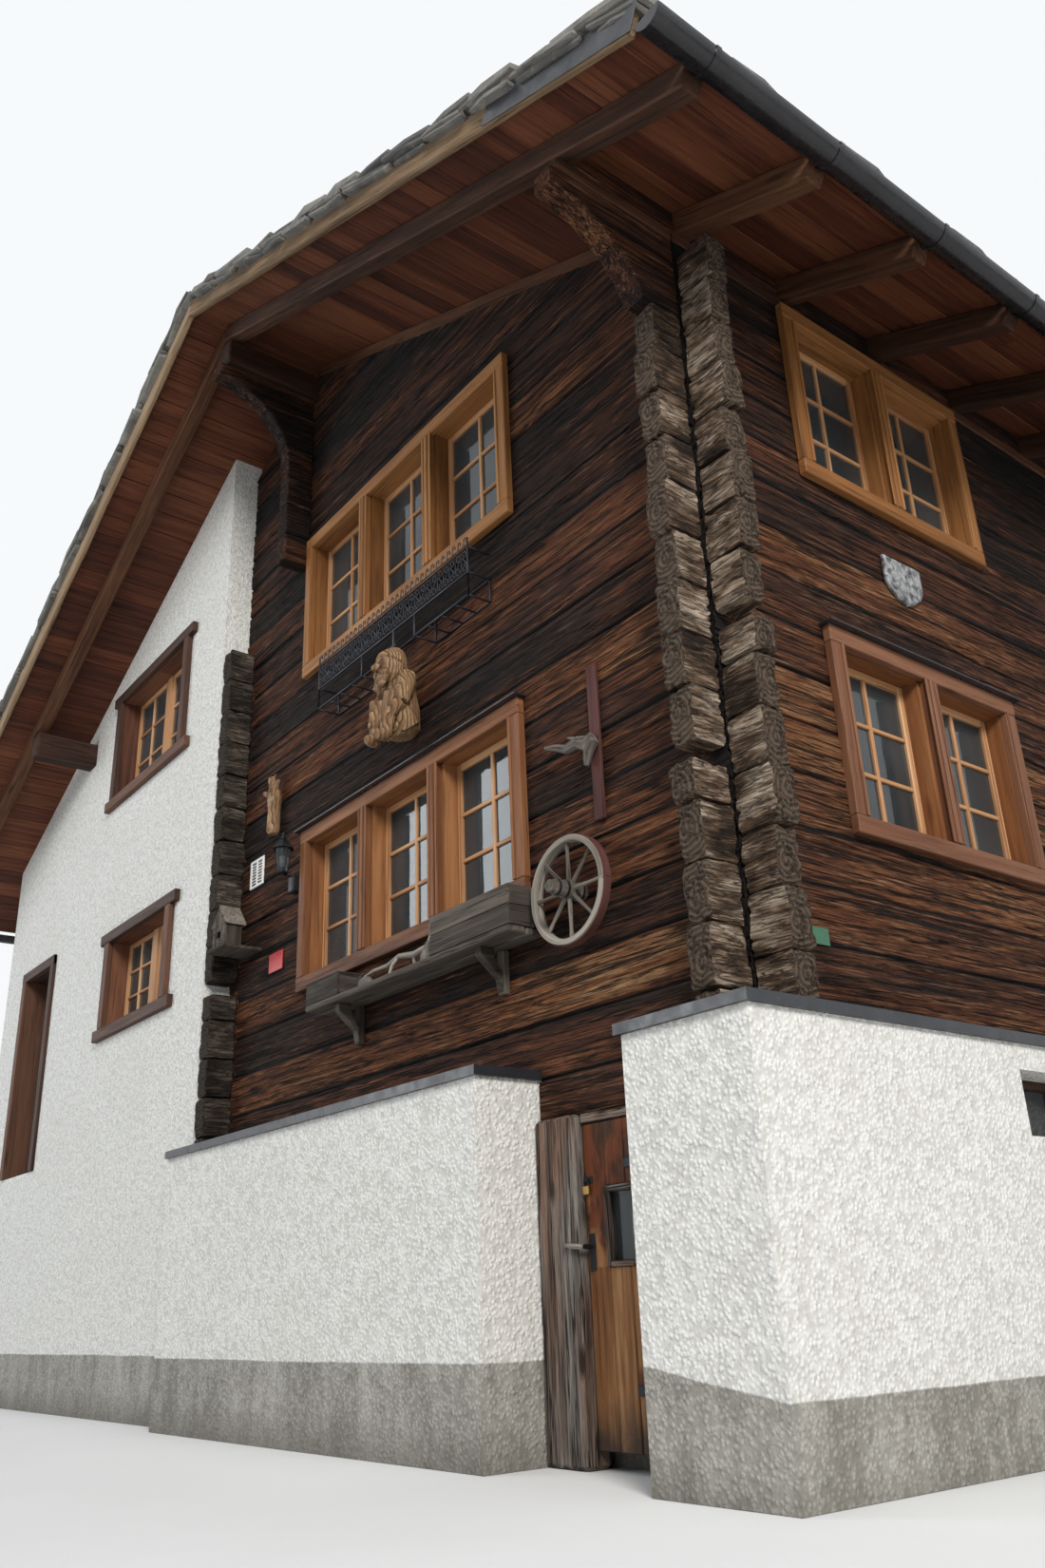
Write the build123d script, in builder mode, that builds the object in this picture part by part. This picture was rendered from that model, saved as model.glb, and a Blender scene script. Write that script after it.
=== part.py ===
from build123d import *
import os
from collections import namedtuple
from math import cos, radians, sin, tan

# Alpine chalet: interlocked log walls over a roughcast masonry base, with a masonry
# kitchen wing at the left and a stone slab roof. Millimetres, Z up, front gable at -Y.
# The origin is on the ground, below the middle of the roof's outline.

# House plan, measured over the outer wall faces
right_span = 4210
left_span = 6190
house_depth = 8700

# Levels above the lowest ground
base_height = 1700
floor_over_base = 280
upper_floor_thickness = 190
cellar_floor_level = 70

# Log walls
log_height = 280
log_thickness = 150
log_end = 230
log_end_scatter = 16
log_gap = 3
worn_log_gap = 90
groove_depth = 10
groove_half_height = 9
front_lower_courses = 9
side_lower_courses = 9
side_courses = 15
inner_wall_over_side = 140
door_lintel_height = 200

# Masonry
front_base_proud = 390
side_base_proud = 296
wing_proud = 218
masonry_ledge = 210
wing_side_thickness = 430
spine_half_thickness = 275
cap_thickness = 48
cap_overhang = 25

# Roof
roof_pitch = 24.88
rafter_over_side = 70
rafter_depth = 140
rafter_width = 120
rafter_bays = 10
wall_rafter_inset = 100
eave_overhang = 900
verge_overhang = 1120
board_thickness = 30
slab_bed = 70
slab_thickness = 95
slab_tail = 45
slab_course = 400
slab_verge_overhang = 60
slab_eave_overhang = 60
slab_scatter = 35
barge_drop = 60
barge_thickness = 45
ridge_purlin_width = 240
ridge_purlin_depth = 280
side_purlin_width = 200
side_purlin_depth = 280
side_purlin_from_left = 2080
purlin_end = 60

# Consoles below the purlins
console_reach = 850
console_nose = 120
ridge_console_drop = 1640
corner_console_courses = 2

# Gutters
gutter_radius = 76
gutter_wall = 4
gutter_drop = 47
gutter_gap = 9
bracket_thickness = 6
bracket_width = 30

# Windows: casing boards round a reveal box with a row of lights
casing_width = 98
casing_proud = 50
casing_cover = 60
mullion_width = 110
sash_rail = 45
sash_thickness = 45
glass_thickness = 6
sash_inset = 10
wing_reveal = 205
wing_mullion_depth = 65
wing_ear = 98
flashing_thickness = 6
flashing_depth = 90
flashing_overhang = 30

Window = namedtuple("Window", "left width sill height lights")

# Windows over their casings: distance from the nearest corner, sill above the ground
front_lights = 3
side_lights = 2
front_lower_from_corner = 1472
front_lower_width = 2568
front_lower_sill_over_base = 973
front_lower_height = 1165
front_upper_from_corner = 1492
front_upper_width = 2616
front_upper_sill_over_base = 3406
front_upper_height = 1228
side_lower_from_corner = 822
side_lower_width = 1669
side_lower_sill_over_base = 1004
side_lower_height = 1154
side_upper_from_corner = 832
side_upper_width = 1700
side_upper_sill_over_base = 3115
side_upper_height = 1205
wing_lower_from_corner = 655
wing_lower_width = 1460
wing_lower_sill_over_base = 1212
wing_lower_height = 958
wing_upper_from_corner = 695
wing_upper_width = 1693
wing_upper_sill_over_base = 3458
wing_upper_height = 1212
wing_side_from_middle = 1229

# Glazed niches in the side of the base
niche_from_corner = 1396
niche_width = 600
niche_below_base_top = 416
niche_height = 295
niche_reveal = 180
niche_rail = 40
niche_frame_depth = 60

# Cellar door in the front base
cellar_door_from_corner = 421
cellar_door_width = 725
cellar_post_width = 296
cellar_door_head = 55
cellar_leaf_thickness = 45
cellar_jamb_width = 40
cellar_frame_depth = 100
cellar_post_proud = 50

# Entrance door in the front of the wing
entrance_from_left = 660
entrance_width = 900
entrance_height = 2024
entrance_jamb_width = 60
entrance_casing_proud = 30
entrance_casing_cover = 38
entrance_leaf_thickness = 50
entrance_frame_depth = 250

# Doorways through the inner log wall
inner_door_left = 600
inner_door_width = 900
inner_door_lower_height = 1900
inner_door_upper_height = 1620

# Door clearances and hinges
door_gap = 5
latch_gap = 10
hinge_pin_radius = 8
hinge_play = 0.5
hinge_eye_radius = 12
hinge_eye_height = 40
hinge_axis_out = 22
hinge_bracket_height = 12
strap_thickness = 12
strap_length = 420
hinge_inset = 220

# Small window, handle and hasp of the cellar leaf
spy_width = 156
spy_height = 294
spy_sill = 838
spy_from_left = 182
spy_rail = 26
spy_proud = 18
handle_height = 904
handle_length = 120
handle_radius = 11
handle_out = 70
handle_from_edge = 36
hasp_height = 1194
hasp_width = 60
hasp_thickness = 4

# Fittings on the front wall, placed from the right corner and above the ground
wheel_from_corner = 1058
wheel_over_base = 868
wheel_radius = 286
wheel_rim = 40
wheel_rim_thickness = 56
wheel_stand_off = 62
hub_radius = 50
hub_nose_radius = 36
hub_length = 225
wheel_spokes = 8
spoke_radius = 13
slat_from_corner = 835
slat_width = 80
slat_over_base = 1195
slat_height = 880
slat_thickness = 25
root_over_base = 1620
root_length = 380
root_radius = 40
rack_from_corner = 1745
rack_length = 1860
rack_top_over_base = 3330
rack_fence_height = 270
rack_tray_drop = 160
rack_tray_length = 610
rack_tray_bays = 4
rack_depth = 175
rack_bar = 12
rack_bays = 14
shelf_from_corner = 1386
shelf_length = 2154
shelf_top_over_base = 760
shelf_thickness = 40
shelf_depth = 234
shelf_bracket_inset = 330
shelf_bracket_width = 60
shelf_bracket_depth = 45
shelf_bracket_drop = 242
planter_depth = 175
planter_board = 20
right_planter_length = 730
right_planter_height = 220
left_planter_length = 400
left_planter_height = 150
carving_from_corner = 2600
carving_over_base = 2225
carved_animal_from_window = 415
carved_animal_over_base = 2255
lantern_from_window = 90
lantern_over_base = 1840
lantern_out = 135
lantern_body_height = 190
lantern_foot_radius = 44
lantern_flare = 7
lantern_roof_radius = 88
lantern_roof_height = 75
lantern_roof_taper = 42
lantern_box_width = 80
lantern_box_depth = 70
lantern_box_height = 130
lantern_arm = 22
vent_x = 395
vent_over_base = 2065
vent_size = 225
vent_thickness = 12
vent_slots = 8
vent_slot_length = 62
vent_slot_width = 10
vent_slot_pitch = 22
nest_x = 390
nest_over_base = 1450
nest_width = 200
nest_depth = 140
nest_wall_height = 180
nest_roof_height = 120
nest_roof_overhang = 22
nest_roof_board = 18
nest_hole_radius = 26
nest_hole_depth = 40
nest_shelf_width = 290
nest_shelf_depth = 310
nest_shelf_thickness = 28
sign_from_window = 396
sign_over_base = 1290
sign_width = 208
sign_drop = 140
plate_thickness = 8

# Fittings on the right wall, placed from the front corner
shield_from_corner = 1620
shield_top_over_base = 2824
shield_width = 338
shield_height = 290
shield_thickness = 35
plate_from_corner = 450
plate_over_base = 448
plate_width = 161
plate_drop = 83

# Derived places
house_width = right_span + left_span
right_face = house_width / 2
left_face = -house_width / 2
front_face = -house_depth / 2
rear_face = house_depth / 2
ridge_x = right_face - right_span
wing_right = 0
slope = tan(radians(roof_pitch))
rafter_rise = rafter_depth / cos(radians(roof_pitch))
board_rise = board_thickness / cos(radians(roof_pitch))
masonry_inner_y = front_face + masonry_ledge
base_front_y = front_face - front_base_proud
wing_front_y = front_face - wing_proud
base_side_x = right_face + side_base_proud
base_side_inner_x = right_face - masonry_ledge
wing_side_inner_x = left_face + wing_side_thickness
cap_top = base_height + cap_thickness
floor_level = base_height + floor_over_base
log_inner_x = right_face - log_thickness
log_inner_y = front_face + log_thickness
front_split = base_height + front_lower_courses * log_height
upper_floor_level = front_split + upper_floor_thickness
side_first = base_height + log_height / 2
side_split = side_first + side_lower_courses * log_height
side_top = side_first + side_courses * log_height
inner_wall_top = side_top + inner_wall_over_side
rafter_seat = side_top + rafter_over_side
ridge_seat = rafter_seat + slope * right_span
rafter_pitch = (house_depth - 2 * wall_rafter_inset) / rafter_bays
flying_y = house_depth / 2 - wall_rafter_inset + rafter_pitch
verge_y = house_depth / 2 + verge_overhang
right_eave = right_face + eave_overhang
left_eave = left_face - eave_overhang
purlin_y = flying_y + purlin_end
side_purlin_x = left_face + side_purlin_from_left
rafter_lines = [-flying_y + i * rafter_pitch for i in range(rafter_bays + 3)]

corner_console_foot = side_top - corner_console_courses * log_height

door_right = right_face - cellar_door_from_corner
cellar_hinge_x = door_right - cellar_jamb_width - door_gap
door_left = cellar_hinge_x + door_gap - cellar_door_width
post_left = door_left - cellar_post_width
cellar_leaf_front = front_face + door_gap
cellar_leaf_bottom = cellar_floor_level + door_gap + 3
lintel_bottom = base_height - door_lintel_height
cellar_door_top = lintel_bottom - cellar_door_head
niche_sill = base_height - niche_below_base_top
entrance_left = left_face + entrance_from_left
entrance_right = entrance_left + entrance_width
entrance_top = floor_level + entrance_height
entrance_hinge_x = entrance_left + entrance_jamb_width + door_gap
entrance_leaf_back = wing_front_y + entrance_frame_depth - door_gap
entrance_leaf_bottom = floor_level + door_gap + 3
entrance_leaf_top = entrance_top - entrance_jamb_width - door_gap

# Levels of the fittings on the walls
wheel_height = base_height + wheel_over_base
slat_bottom = base_height + slat_over_base
root_height = base_height + root_over_base
rack_top = base_height + rack_top_over_base
shelf_top = base_height + shelf_top_over_base
carving_foot = base_height + carving_over_base
carved_animal_foot = base_height + carved_animal_over_base
lantern_foot = base_height + lantern_over_base
vent_height = base_height + vent_over_base
nest_floor = base_height + nest_over_base
sign_height = base_height + sign_over_base
shield_top = base_height + shield_top_over_base
plate_height = base_height + plate_over_base

# Window groups, placed along their wall by the left edge of the casing
front_lower_window = Window(
    right_face - front_lower_from_corner - front_lower_width,
    front_lower_width, base_height + front_lower_sill_over_base, front_lower_height, front_lights,
)
front_upper_window = Window(
    right_face - front_upper_from_corner - front_upper_width,
    front_upper_width, base_height + front_upper_sill_over_base, front_upper_height, front_lights,
)
side_lower_windows = [
    Window(left, side_lower_width, base_height + side_lower_sill_over_base, side_lower_height, side_lights)
    for left in (
        front_face + side_lower_from_corner,
        rear_face - side_lower_from_corner - side_lower_width,
    )
]
side_upper_windows = [
    Window(left, side_upper_width, base_height + side_upper_sill_over_base, side_upper_height, side_lights)
    for left in (
        front_face + side_upper_from_corner,
        rear_face - side_upper_from_corner - side_upper_width,
    )
]
wing_lower_window = Window(
    wing_right - wing_lower_from_corner - wing_lower_width,
    wing_lower_width, base_height + wing_lower_sill_over_base, wing_lower_height, side_lights,
)
wing_upper_window = Window(
    wing_right - wing_upper_from_corner - wing_upper_width,
    wing_upper_width, base_height + wing_upper_sill_over_base, wing_upper_height, side_lights,
)
wing_side_windows = [
    Window(left, wing_lower_width, base_height + wing_lower_sill_over_base, wing_lower_height, side_lights)
    for left in (-wing_side_from_middle - wing_lower_width, wing_side_from_middle)
]
niche_lefts = (front_face + niche_from_corner, rear_face - niche_from_corner - niche_width)
niche_centres = [(left + niche_width / 2, niche_sill + niche_height / 2) for left in niche_lefts]


def frontal(y):
    """A plane facing the front, at the given depth, with X across and Z up."""
    return Plane.XZ.offset(-y)


def wall_plane(origin, along, outward):
    """The outer face of a wall: local x runs along it and local y is up."""
    return Plane(origin=origin, x_dir=along, z_dir=outward)


front_wall = wall_plane((0, front_face, 0), (1, 0, 0), (0, -1, 0))
right_wall = wall_plane((right_face, 0, 0), (0, 1, 0), (1, 0, 0))
wing_front = wall_plane((0, wing_front_y, 0), (1, 0, 0), (0, -1, 0))
wing_left = wall_plane((left_face, 0, 0), (0, -1, 0), (-1, 0, 0))
base_right_wall = wall_plane((base_side_x, 0, 0), (0, 1, 0), (1, 0, 0))


def seat(x, rise=0):
    """Height of the rafters' underside at x, plus a rise."""
    return ridge_seat - slope * abs(x - ridge_x) + rise


def block(x0, x1, y0, y1, z0, z1, mode=Mode.ADD):
    """A squared block between two opposite corners."""
    with Locations(((x0 + x1) / 2, (y0 + y1) / 2, (z0 + z1) / 2)):
        Box(x1 - x0, y1 - y0, z1 - z0, mode=mode)


def outline(plane, *points):
    """Flat face bounded by straight lines between the points."""
    with BuildSketch(plane) as face:
        with BuildLine():
            Polyline(*points, close=True)
        make_face()
    return face.sketch


def chevron(y, x_left, x_right, low, high):
    """Face of a pair of slopes, between two rises over the rafters' underside."""
    return outline(
        frontal(y),
        (x_left, seat(x_left, low)),
        (ridge_x, seat(ridge_x, low)),
        (x_right, seat(x_right, low)),
        (x_right, seat(x_right, high)),
        (ridge_x, seat(ridge_x, high)),
        (x_left, seat(x_left, high)),
    )


def cut_rafter_notches():
    """Notches that the rafters lie in."""
    for y in rafter_lines:
        face = chevron(y + rafter_width / 2, left_eave, right_eave, 0, rafter_rise)
        extrude(face, amount=rafter_width, mode=Mode.SUBTRACT)


def ridge_purlin_face(y):
    """Ridge purlin section, its top shaped to the pair of slopes."""
    half = ridge_purlin_width / 2
    bottom = ridge_seat - ridge_purlin_depth
    return outline(
        frontal(y),
        (ridge_x - half, bottom),
        (ridge_x + half, bottom),
        (ridge_x + half, seat(ridge_x + half)),
        (ridge_x, ridge_seat),
        (ridge_x - half, seat(ridge_x - half)),
    )


def side_purlin_face(y):
    """Section of the purlin that carries the long left slope."""
    half = side_purlin_width / 2
    bottom = seat(side_purlin_x) - side_purlin_depth
    return outline(
        frontal(y),
        (side_purlin_x - half, bottom),
        (side_purlin_x + half, bottom),
        (side_purlin_x + half, seat(side_purlin_x + half)),
        (side_purlin_x - half, seat(side_purlin_x - half)),
    )


def eave_purlin_face(y):
    """Section of the top log of the right wall, which the rafters are notched into."""
    return outline(
        frontal(y),
        (log_inner_x, side_top),
        (right_face, side_top),
        (right_face, seat(right_face, rafter_rise)),
        (log_inner_x, seat(log_inner_x, rafter_rise)),
    )


def log_section(plane, outer, inward, z_low, z_high, first_joint):
    """Section of a log wall: plain inside, a groove at every joint outside."""
    inner = outer + inward * log_thickness
    points = [(inner, z_low), (inner, z_high), (outer, z_high)]
    joints = int((z_high - 1 - first_joint) // log_height) + 1
    for i in reversed(range(joints)):
        joint = first_joint + i * log_height
        if joint > z_low + 1:
            points.append((outer, joint + groove_half_height))
            points.append((outer + inward * groove_depth, joint))
            points.append((outer, joint - groove_half_height))
    points.append((outer, z_low))
    return outline(plane, *points)


def front_tongues(z_low, z_high):
    """Heights where the front wall's logs pass through a crossing."""
    levels = []
    courses = int((z_high - base_height) // log_height) + 1
    for k in range(courses):
        low = base_height + (k + 0.25) * log_height
        high = base_height + (k + 0.75) * log_height
        if min(high, z_high) > max(low, z_low):
            levels.append((max(low, z_low), min(high, z_high)))
    return levels


def end_length(course, stack):
    """Length of a log end, which varies from course to course."""
    return log_end + log_end_scatter * sin(2.4 * course + stack)


def front_log_ends(z_low, z_high, worn=()):
    """Ends of the front wall's logs beyond the right corner."""
    for k in range(side_courses + 1):
        low = base_height + k * log_height
        if z_low <= low < z_high and low < side_top - log_height / 2:
            drop = worn_log_gap if k in worn else log_gap
            bottom = max(low + log_gap, cap_top + log_gap)
            top = min(low + log_height - drop, side_top)
            block(right_face, right_face + end_length(k, 0), front_face, log_inner_y, bottom, top)


def side_log_ends(x0, x1, z_low, z_high, stack, longest=None, worn=()):
    """Ends of a side wall's logs beyond the front and rear walls."""
    for k in range(-1, side_courses + 1):
        low = side_first + k * log_height
        if z_low <= low + log_height / 2 + 1 and low < z_high:
            drop = worn_log_gap if k in worn else log_gap
            bottom = max(low, z_low, cap_top) + log_gap
            top = min(low + log_height, z_high) - drop
            reach = longest if longest else end_length(k, stack)
            if top - bottom > log_gap:
                block(x0, x1, front_face - reach, front_face, bottom, top)
                block(x0, x1, rear_face, rear_face + reach, bottom, top)


def light_centres(window):
    """Centres of a window's lights along its wall."""
    width = light_width(window)
    first = window.left + casing_width + width / 2
    z = window.sill + window.height / 2
    return [(first + i * (width + mullion_width), z) for i in range(window.lights)]


def light_width(window):
    clear = window.width - 2 * casing_width - (window.lights - 1) * mullion_width
    return clear / window.lights


def light_height(window):
    return window.height - 2 * casing_width


def window_opening(wall, window, depth):
    """Hole through the wall that the reveal box fills."""
    centre = (window.left + window.width / 2, window.sill + window.height / 2)
    with BuildSketch(wall) as hole:
        with Locations(centre):
            Rectangle(window.width - 2 * casing_cover, window.height - 2 * casing_cover)
    extrude(hole.sketch, amount=-depth, mode=Mode.SUBTRACT)


def window_frame(wall, window, reveal):
    """Casing boards on the wall and a reveal box through it, pierced by the lights."""
    centre = (window.left + window.width / 2, window.sill + window.height / 2)
    lights = light_centres(window)
    size = (light_width(window), light_height(window))
    with BuildSketch(wall) as casing:
        with Locations(centre):
            Rectangle(window.width, window.height)
        with Locations(*lights):
            Rectangle(*size, mode=Mode.SUBTRACT)
    extrude(casing.sketch, amount=casing_proud)
    with BuildSketch(wall) as box:
        with Locations(centre):
            Rectangle(window.width - 2 * casing_cover, window.height - 2 * casing_cover)
        with Locations(*lights):
            Rectangle(*size, mode=Mode.SUBTRACT)
    extrude(box.sketch, amount=-reveal)


def eared_window_frame(wall, window, reveal):
    """Head and sill that run past the jambs, round a reveal with a mullion at its back only."""
    height = light_height(window)
    middle_x = window.left + window.width / 2
    middle_z = window.sill + window.height / 2
    beam_rise = (height + casing_width) / 2
    with BuildSketch(wall) as casing:
        with Locations((middle_x, middle_z)):
            Rectangle(window.width, window.height)
            Rectangle(window.width - 2 * casing_width, height, mode=Mode.SUBTRACT)
        with Locations((middle_x, middle_z - beam_rise), (middle_x, middle_z + beam_rise)):
            Rectangle(window.width + 2 * wing_ear, casing_width)
    extrude(casing.sketch, amount=casing_proud)
    with BuildSketch(wall) as box:
        with Locations((middle_x, middle_z)):
            Rectangle(window.width - 2 * casing_cover, window.height - 2 * casing_cover)
            Rectangle(window.width - 2 * casing_width, height, mode=Mode.SUBTRACT)
    extrude(box.sketch, amount=-reveal)
    with BuildSketch(wall.offset(wing_mullion_depth - reveal)) as mullions:
        with Locations((middle_x, middle_z)):
            Rectangle(window.width - 2 * casing_width, height)
        with Locations(*light_centres(window)):
            Rectangle(light_width(window), height, mode=Mode.SUBTRACT)
    extrude(mullions.sketch, amount=-wing_mullion_depth)


def window_sash(wall, window, reveal):
    """Sashes at the back of the reveal."""
    width = light_width(window)
    height = light_height(window)
    with BuildSketch(wall.offset(sash_inset + sash_thickness - reveal)) as rails:
        with Locations(*light_centres(window)):
            Rectangle(width, height)
            Rectangle(width - 2 * sash_rail, height - 2 * sash_rail, mode=Mode.SUBTRACT)
    extrude(rails.sketch, amount=-sash_thickness)


def window_glass(wall, window, reveal):
    """One pane in each sash."""
    width = light_width(window) - 2 * sash_rail
    height = light_height(window) - 2 * sash_rail
    middle = sash_inset + (sash_thickness + glass_thickness) / 2 - reveal
    with BuildSketch(wall.offset(middle)) as panes:
        with Locations(*light_centres(window)):
            Rectangle(width, height)
    extrude(panes.sketch, amount=-glass_thickness)


def window_flashing(wall, window):
    """Folded sheet over the head of a window."""
    with BuildSketch(wall) as edge:
        with Locations((window.left + window.width / 2, window.sill + window.height)):
            Rectangle(
                window.width + 2 * flashing_overhang,
                flashing_thickness,
                align=(Align.CENTER, Align.MIN),
            )
    extrude(edge.sketch, amount=flashing_depth)


def finish(builder, name):
    """Label a finished piece and write it to its file."""
    builder.part.label = name
    export_step(builder.part, f"parts/{name}.step")


os.makedirs("parts", exist_ok=True)

# Masonry base under the log rooms

with BuildPart() as base_front_left:
    block(wing_right, post_left, base_front_y, masonry_inner_y, 0, base_height)

with BuildPart() as base_front_right:
    block(door_right, base_side_x, base_front_y, masonry_inner_y, 0, base_height)

with BuildPart() as base_side:
    block(base_side_inner_x, base_side_x, masonry_inner_y, -masonry_inner_y, 0, base_height)
    for left in niche_lefts:
        block(
            base_side_inner_x, base_side_x, left, left + niche_width,
            niche_sill, niche_sill + niche_height, mode=Mode.SUBTRACT,
        )

with BuildPart() as base_rear:
    block(wing_right, base_side_x, -masonry_inner_y, -base_front_y, 0, base_height)

with BuildPart() as base_spine:
    block(
        wing_right - spine_half_thickness, wing_right + spine_half_thickness,
        masonry_inner_y, -masonry_inner_y, 0, base_height,
    )

with BuildPart() as base_caps:
    with BuildSketch(Plane.XY.offset(base_height)):
        with BuildLine():
            Polyline(
                (door_right - cap_overhang, base_front_y - cap_overhang),
                (base_side_x + cap_overhang, base_front_y - cap_overhang),
                (base_side_x + cap_overhang, cap_overhang - base_front_y),
                (wing_right, cap_overhang - base_front_y),
                (wing_right, rear_face),
                (right_face, rear_face),
                (right_face, front_face),
                (door_right - cap_overhang, front_face),
                close=True,
            )
        make_face()
    extrude(amount=cap_thickness)
    block(
        wing_right, post_left + cap_overhang, base_front_y - cap_overhang, front_face,
        base_height, cap_top,
    )

# Log walls


def gable_log_wall(z_low, z_high, worn=()):
    """Front gable wall between two levels, with its tongues and log ends."""
    start = Plane.YZ.offset(wing_right + log_thickness)
    section = log_section(start, front_face, 1, z_low, z_high, base_height)
    extrude(section, amount=log_inner_x - wing_right - log_thickness)
    for low, high in front_tongues(z_low, min(z_high, side_top)):
        block(log_inner_x, right_face, front_face, log_inner_y, low, high)
    for low, high in front_tongues(z_low, min(z_high, inner_wall_top)):
        block(wing_right, wing_right + log_thickness, front_face, log_inner_y, low, high)
    front_log_ends(z_low, z_high, worn)


def shape_gable(z_low):
    """Cut a gable wall to the slopes and let the ridge purlin through."""
    block(
        wing_right, wing_right + log_thickness, front_face, log_inner_y,
        inner_wall_top, seat(wing_right),
    )
    gable = outline(
        frontal(log_inner_y),
        (wing_right, z_low),
        (right_face + 2 * log_end, z_low),
        (right_face + 2 * log_end, side_top),
        (log_inner_x, side_top),
        (log_inner_x, seat(log_inner_x)),
        (ridge_x, ridge_seat),
        (wing_right, seat(wing_right)),
    )
    extrude(gable, amount=log_thickness, mode=Mode.INTERSECT)
    extrude(ridge_purlin_face(log_inner_y), amount=log_thickness, mode=Mode.SUBTRACT)


with BuildPart() as gable_lower:
    gable_log_wall(base_height, front_split, worn=(6,))
    window_opening(front_wall, front_lower_window, log_thickness)

with BuildPart() as front_wall_lower:
    add(gable_lower.part)
    block(
        post_left, door_right, front_face, log_inner_y,
        base_height - door_lintel_height, base_height,
    )

with BuildPart() as front_wall_upper:
    gable_log_wall(front_split, ridge_seat)
    shape_gable(front_split)
    window_opening(front_wall, front_upper_window, log_thickness)

with BuildPart() as rear_wall_lower:
    mirror(gable_lower.part, about=Plane.XZ)

with BuildPart() as rear_wall_upper:
    mirror(front_wall_upper.part, about=Plane.XZ)


def long_log_wall(outer, inward, z_low, z_high, top_level):
    """A log wall along the depth of the house, notched for the gable walls' tongues."""
    section = log_section(frontal(rear_face), outer, inward, z_low, z_high, side_first)
    extrude(section, amount=house_depth)
    inner = outer + inward * log_thickness
    x0, x1 = min(outer, inner), max(outer, inner)
    for low, high in front_tongues(z_low, min(z_high, top_level)):
        block(x0, x1, front_face, log_inner_y, low, high, mode=Mode.SUBTRACT)
        block(x0, x1, -log_inner_y, rear_face, low, high, mode=Mode.SUBTRACT)


with BuildPart() as side_wall_lower:
    long_log_wall(right_face, -1, base_height, side_split, side_top)
    side_log_ends(log_inner_x, right_face, base_height, side_split, 1, worn=(3,))
    for window in side_lower_windows:
        window_opening(right_wall, window, log_thickness)

with BuildPart() as side_wall_upper:
    long_log_wall(right_face, -1, side_split, side_top, side_top)
    side_log_ends(log_inner_x, right_face, side_split, corner_console_foot, 1)
    for window in side_upper_windows:
        window_opening(right_wall, window, log_thickness)

with BuildPart() as inner_wall_lower:
    long_log_wall(wing_right + log_thickness, -1, base_height, side_split, inner_wall_top)
    side_log_ends(
        wing_right, wing_right + log_thickness, base_height, side_split, 2, longest=wing_proud,
    )
    block(
        wing_right, wing_right + log_thickness, inner_door_left, inner_door_left + inner_door_width,
        floor_level, floor_level + inner_door_lower_height, mode=Mode.SUBTRACT,
    )

with BuildPart() as inner_wall_upper:
    long_log_wall(wing_right + log_thickness, -1, side_split, inner_wall_top, inner_wall_top)
    side_log_ends(
        wing_right, wing_right + log_thickness, side_split, inner_wall_top, 2, longest=wing_proud,
    )
    block(
        wing_right, wing_right + log_thickness, inner_door_left, inner_door_left + inner_door_width,
        side_split, upper_floor_level + inner_door_upper_height, mode=Mode.SUBTRACT,
    )

# Masonry wing


def masonry_gable(x0, x1, z0, z1=None):
    """Part of the wing's front wall, up to a level or to the roof boards."""
    top_left = z1 if z1 else seat(x0, rafter_rise)
    top_right = z1 if z1 else seat(x1, rafter_rise)
    corners = ((x0, z0), (x1, z0), (x1, top_right), (x0, top_left))
    extrude(outline(frontal(masonry_inner_y), *corners), amount=masonry_inner_y - wing_front_y)


def seat_roof_timbers():
    """Let the rafters and the side purlin into the masonry."""
    cut_rafter_notches()
    extrude(side_purlin_face(purlin_y), amount=2 * purlin_y, mode=Mode.SUBTRACT)


with BuildPart() as wing_front_left:
    masonry_gable(left_face, entrance_left, 0)
    seat_roof_timbers()

with BuildPart() as wing_front_right:
    masonry_gable(entrance_right, wing_right, 0)
    seat_roof_timbers()
    for window in (wing_lower_window, wing_upper_window):
        window_opening(wing_front, window, masonry_inner_y - wing_front_y)

with BuildPart() as wing_door_bay:
    masonry_gable(entrance_left, entrance_right, 0, floor_level)
    masonry_gable(entrance_left, entrance_right, entrance_top)
    seat_roof_timbers()

with BuildPart() as wing_gable:
    masonry_gable(left_face, wing_right, 0)
    seat_roof_timbers()
    for window in (wing_lower_window, wing_upper_window):
        window_opening(wing_front, window, masonry_inner_y - wing_front_y)

with BuildPart() as wing_rear:
    mirror(wing_gable.part, about=Plane.XZ)

with BuildPart() as wing_side:
    with BuildSketch(frontal(-masonry_inner_y)):
        with BuildLine():
            Polyline(
                (left_face, 0),
                (wing_side_inner_x, 0),
                (wing_side_inner_x, seat(wing_side_inner_x, rafter_rise)),
                (left_face, seat(left_face, rafter_rise)),
                close=True,
            )
        make_face()
    extrude(amount=-2 * masonry_inner_y)
    cut_rafter_notches()
    for window in wing_side_windows:
        window_opening(wing_left, window, wing_side_thickness)

# Floors

with BuildPart() as cellar_floor:
    block(
        wing_right + spine_half_thickness, base_side_inner_x,
        masonry_inner_y, -masonry_inner_y, 0, cellar_floor_level,
    )
    block(post_left, door_right, front_face + log_thickness, masonry_inner_y, 0, cellar_floor_level)

with BuildPart() as ground_floor:
    block(
        wing_right + log_thickness, log_inner_x, log_inner_y, -log_inner_y,
        base_height, floor_level,
    )
    block(
        wing_side_inner_x, wing_right, masonry_inner_y, -masonry_inner_y,
        base_height, floor_level,
    )

with BuildPart() as upper_floor:
    block(
        wing_right + log_thickness, log_inner_x, log_inner_y, -log_inner_y,
        front_split, upper_floor_level,
    )
    block(
        wing_side_inner_x, wing_right, masonry_inner_y, -masonry_inner_y,
        front_split, upper_floor_level,
    )

# Roof

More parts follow.
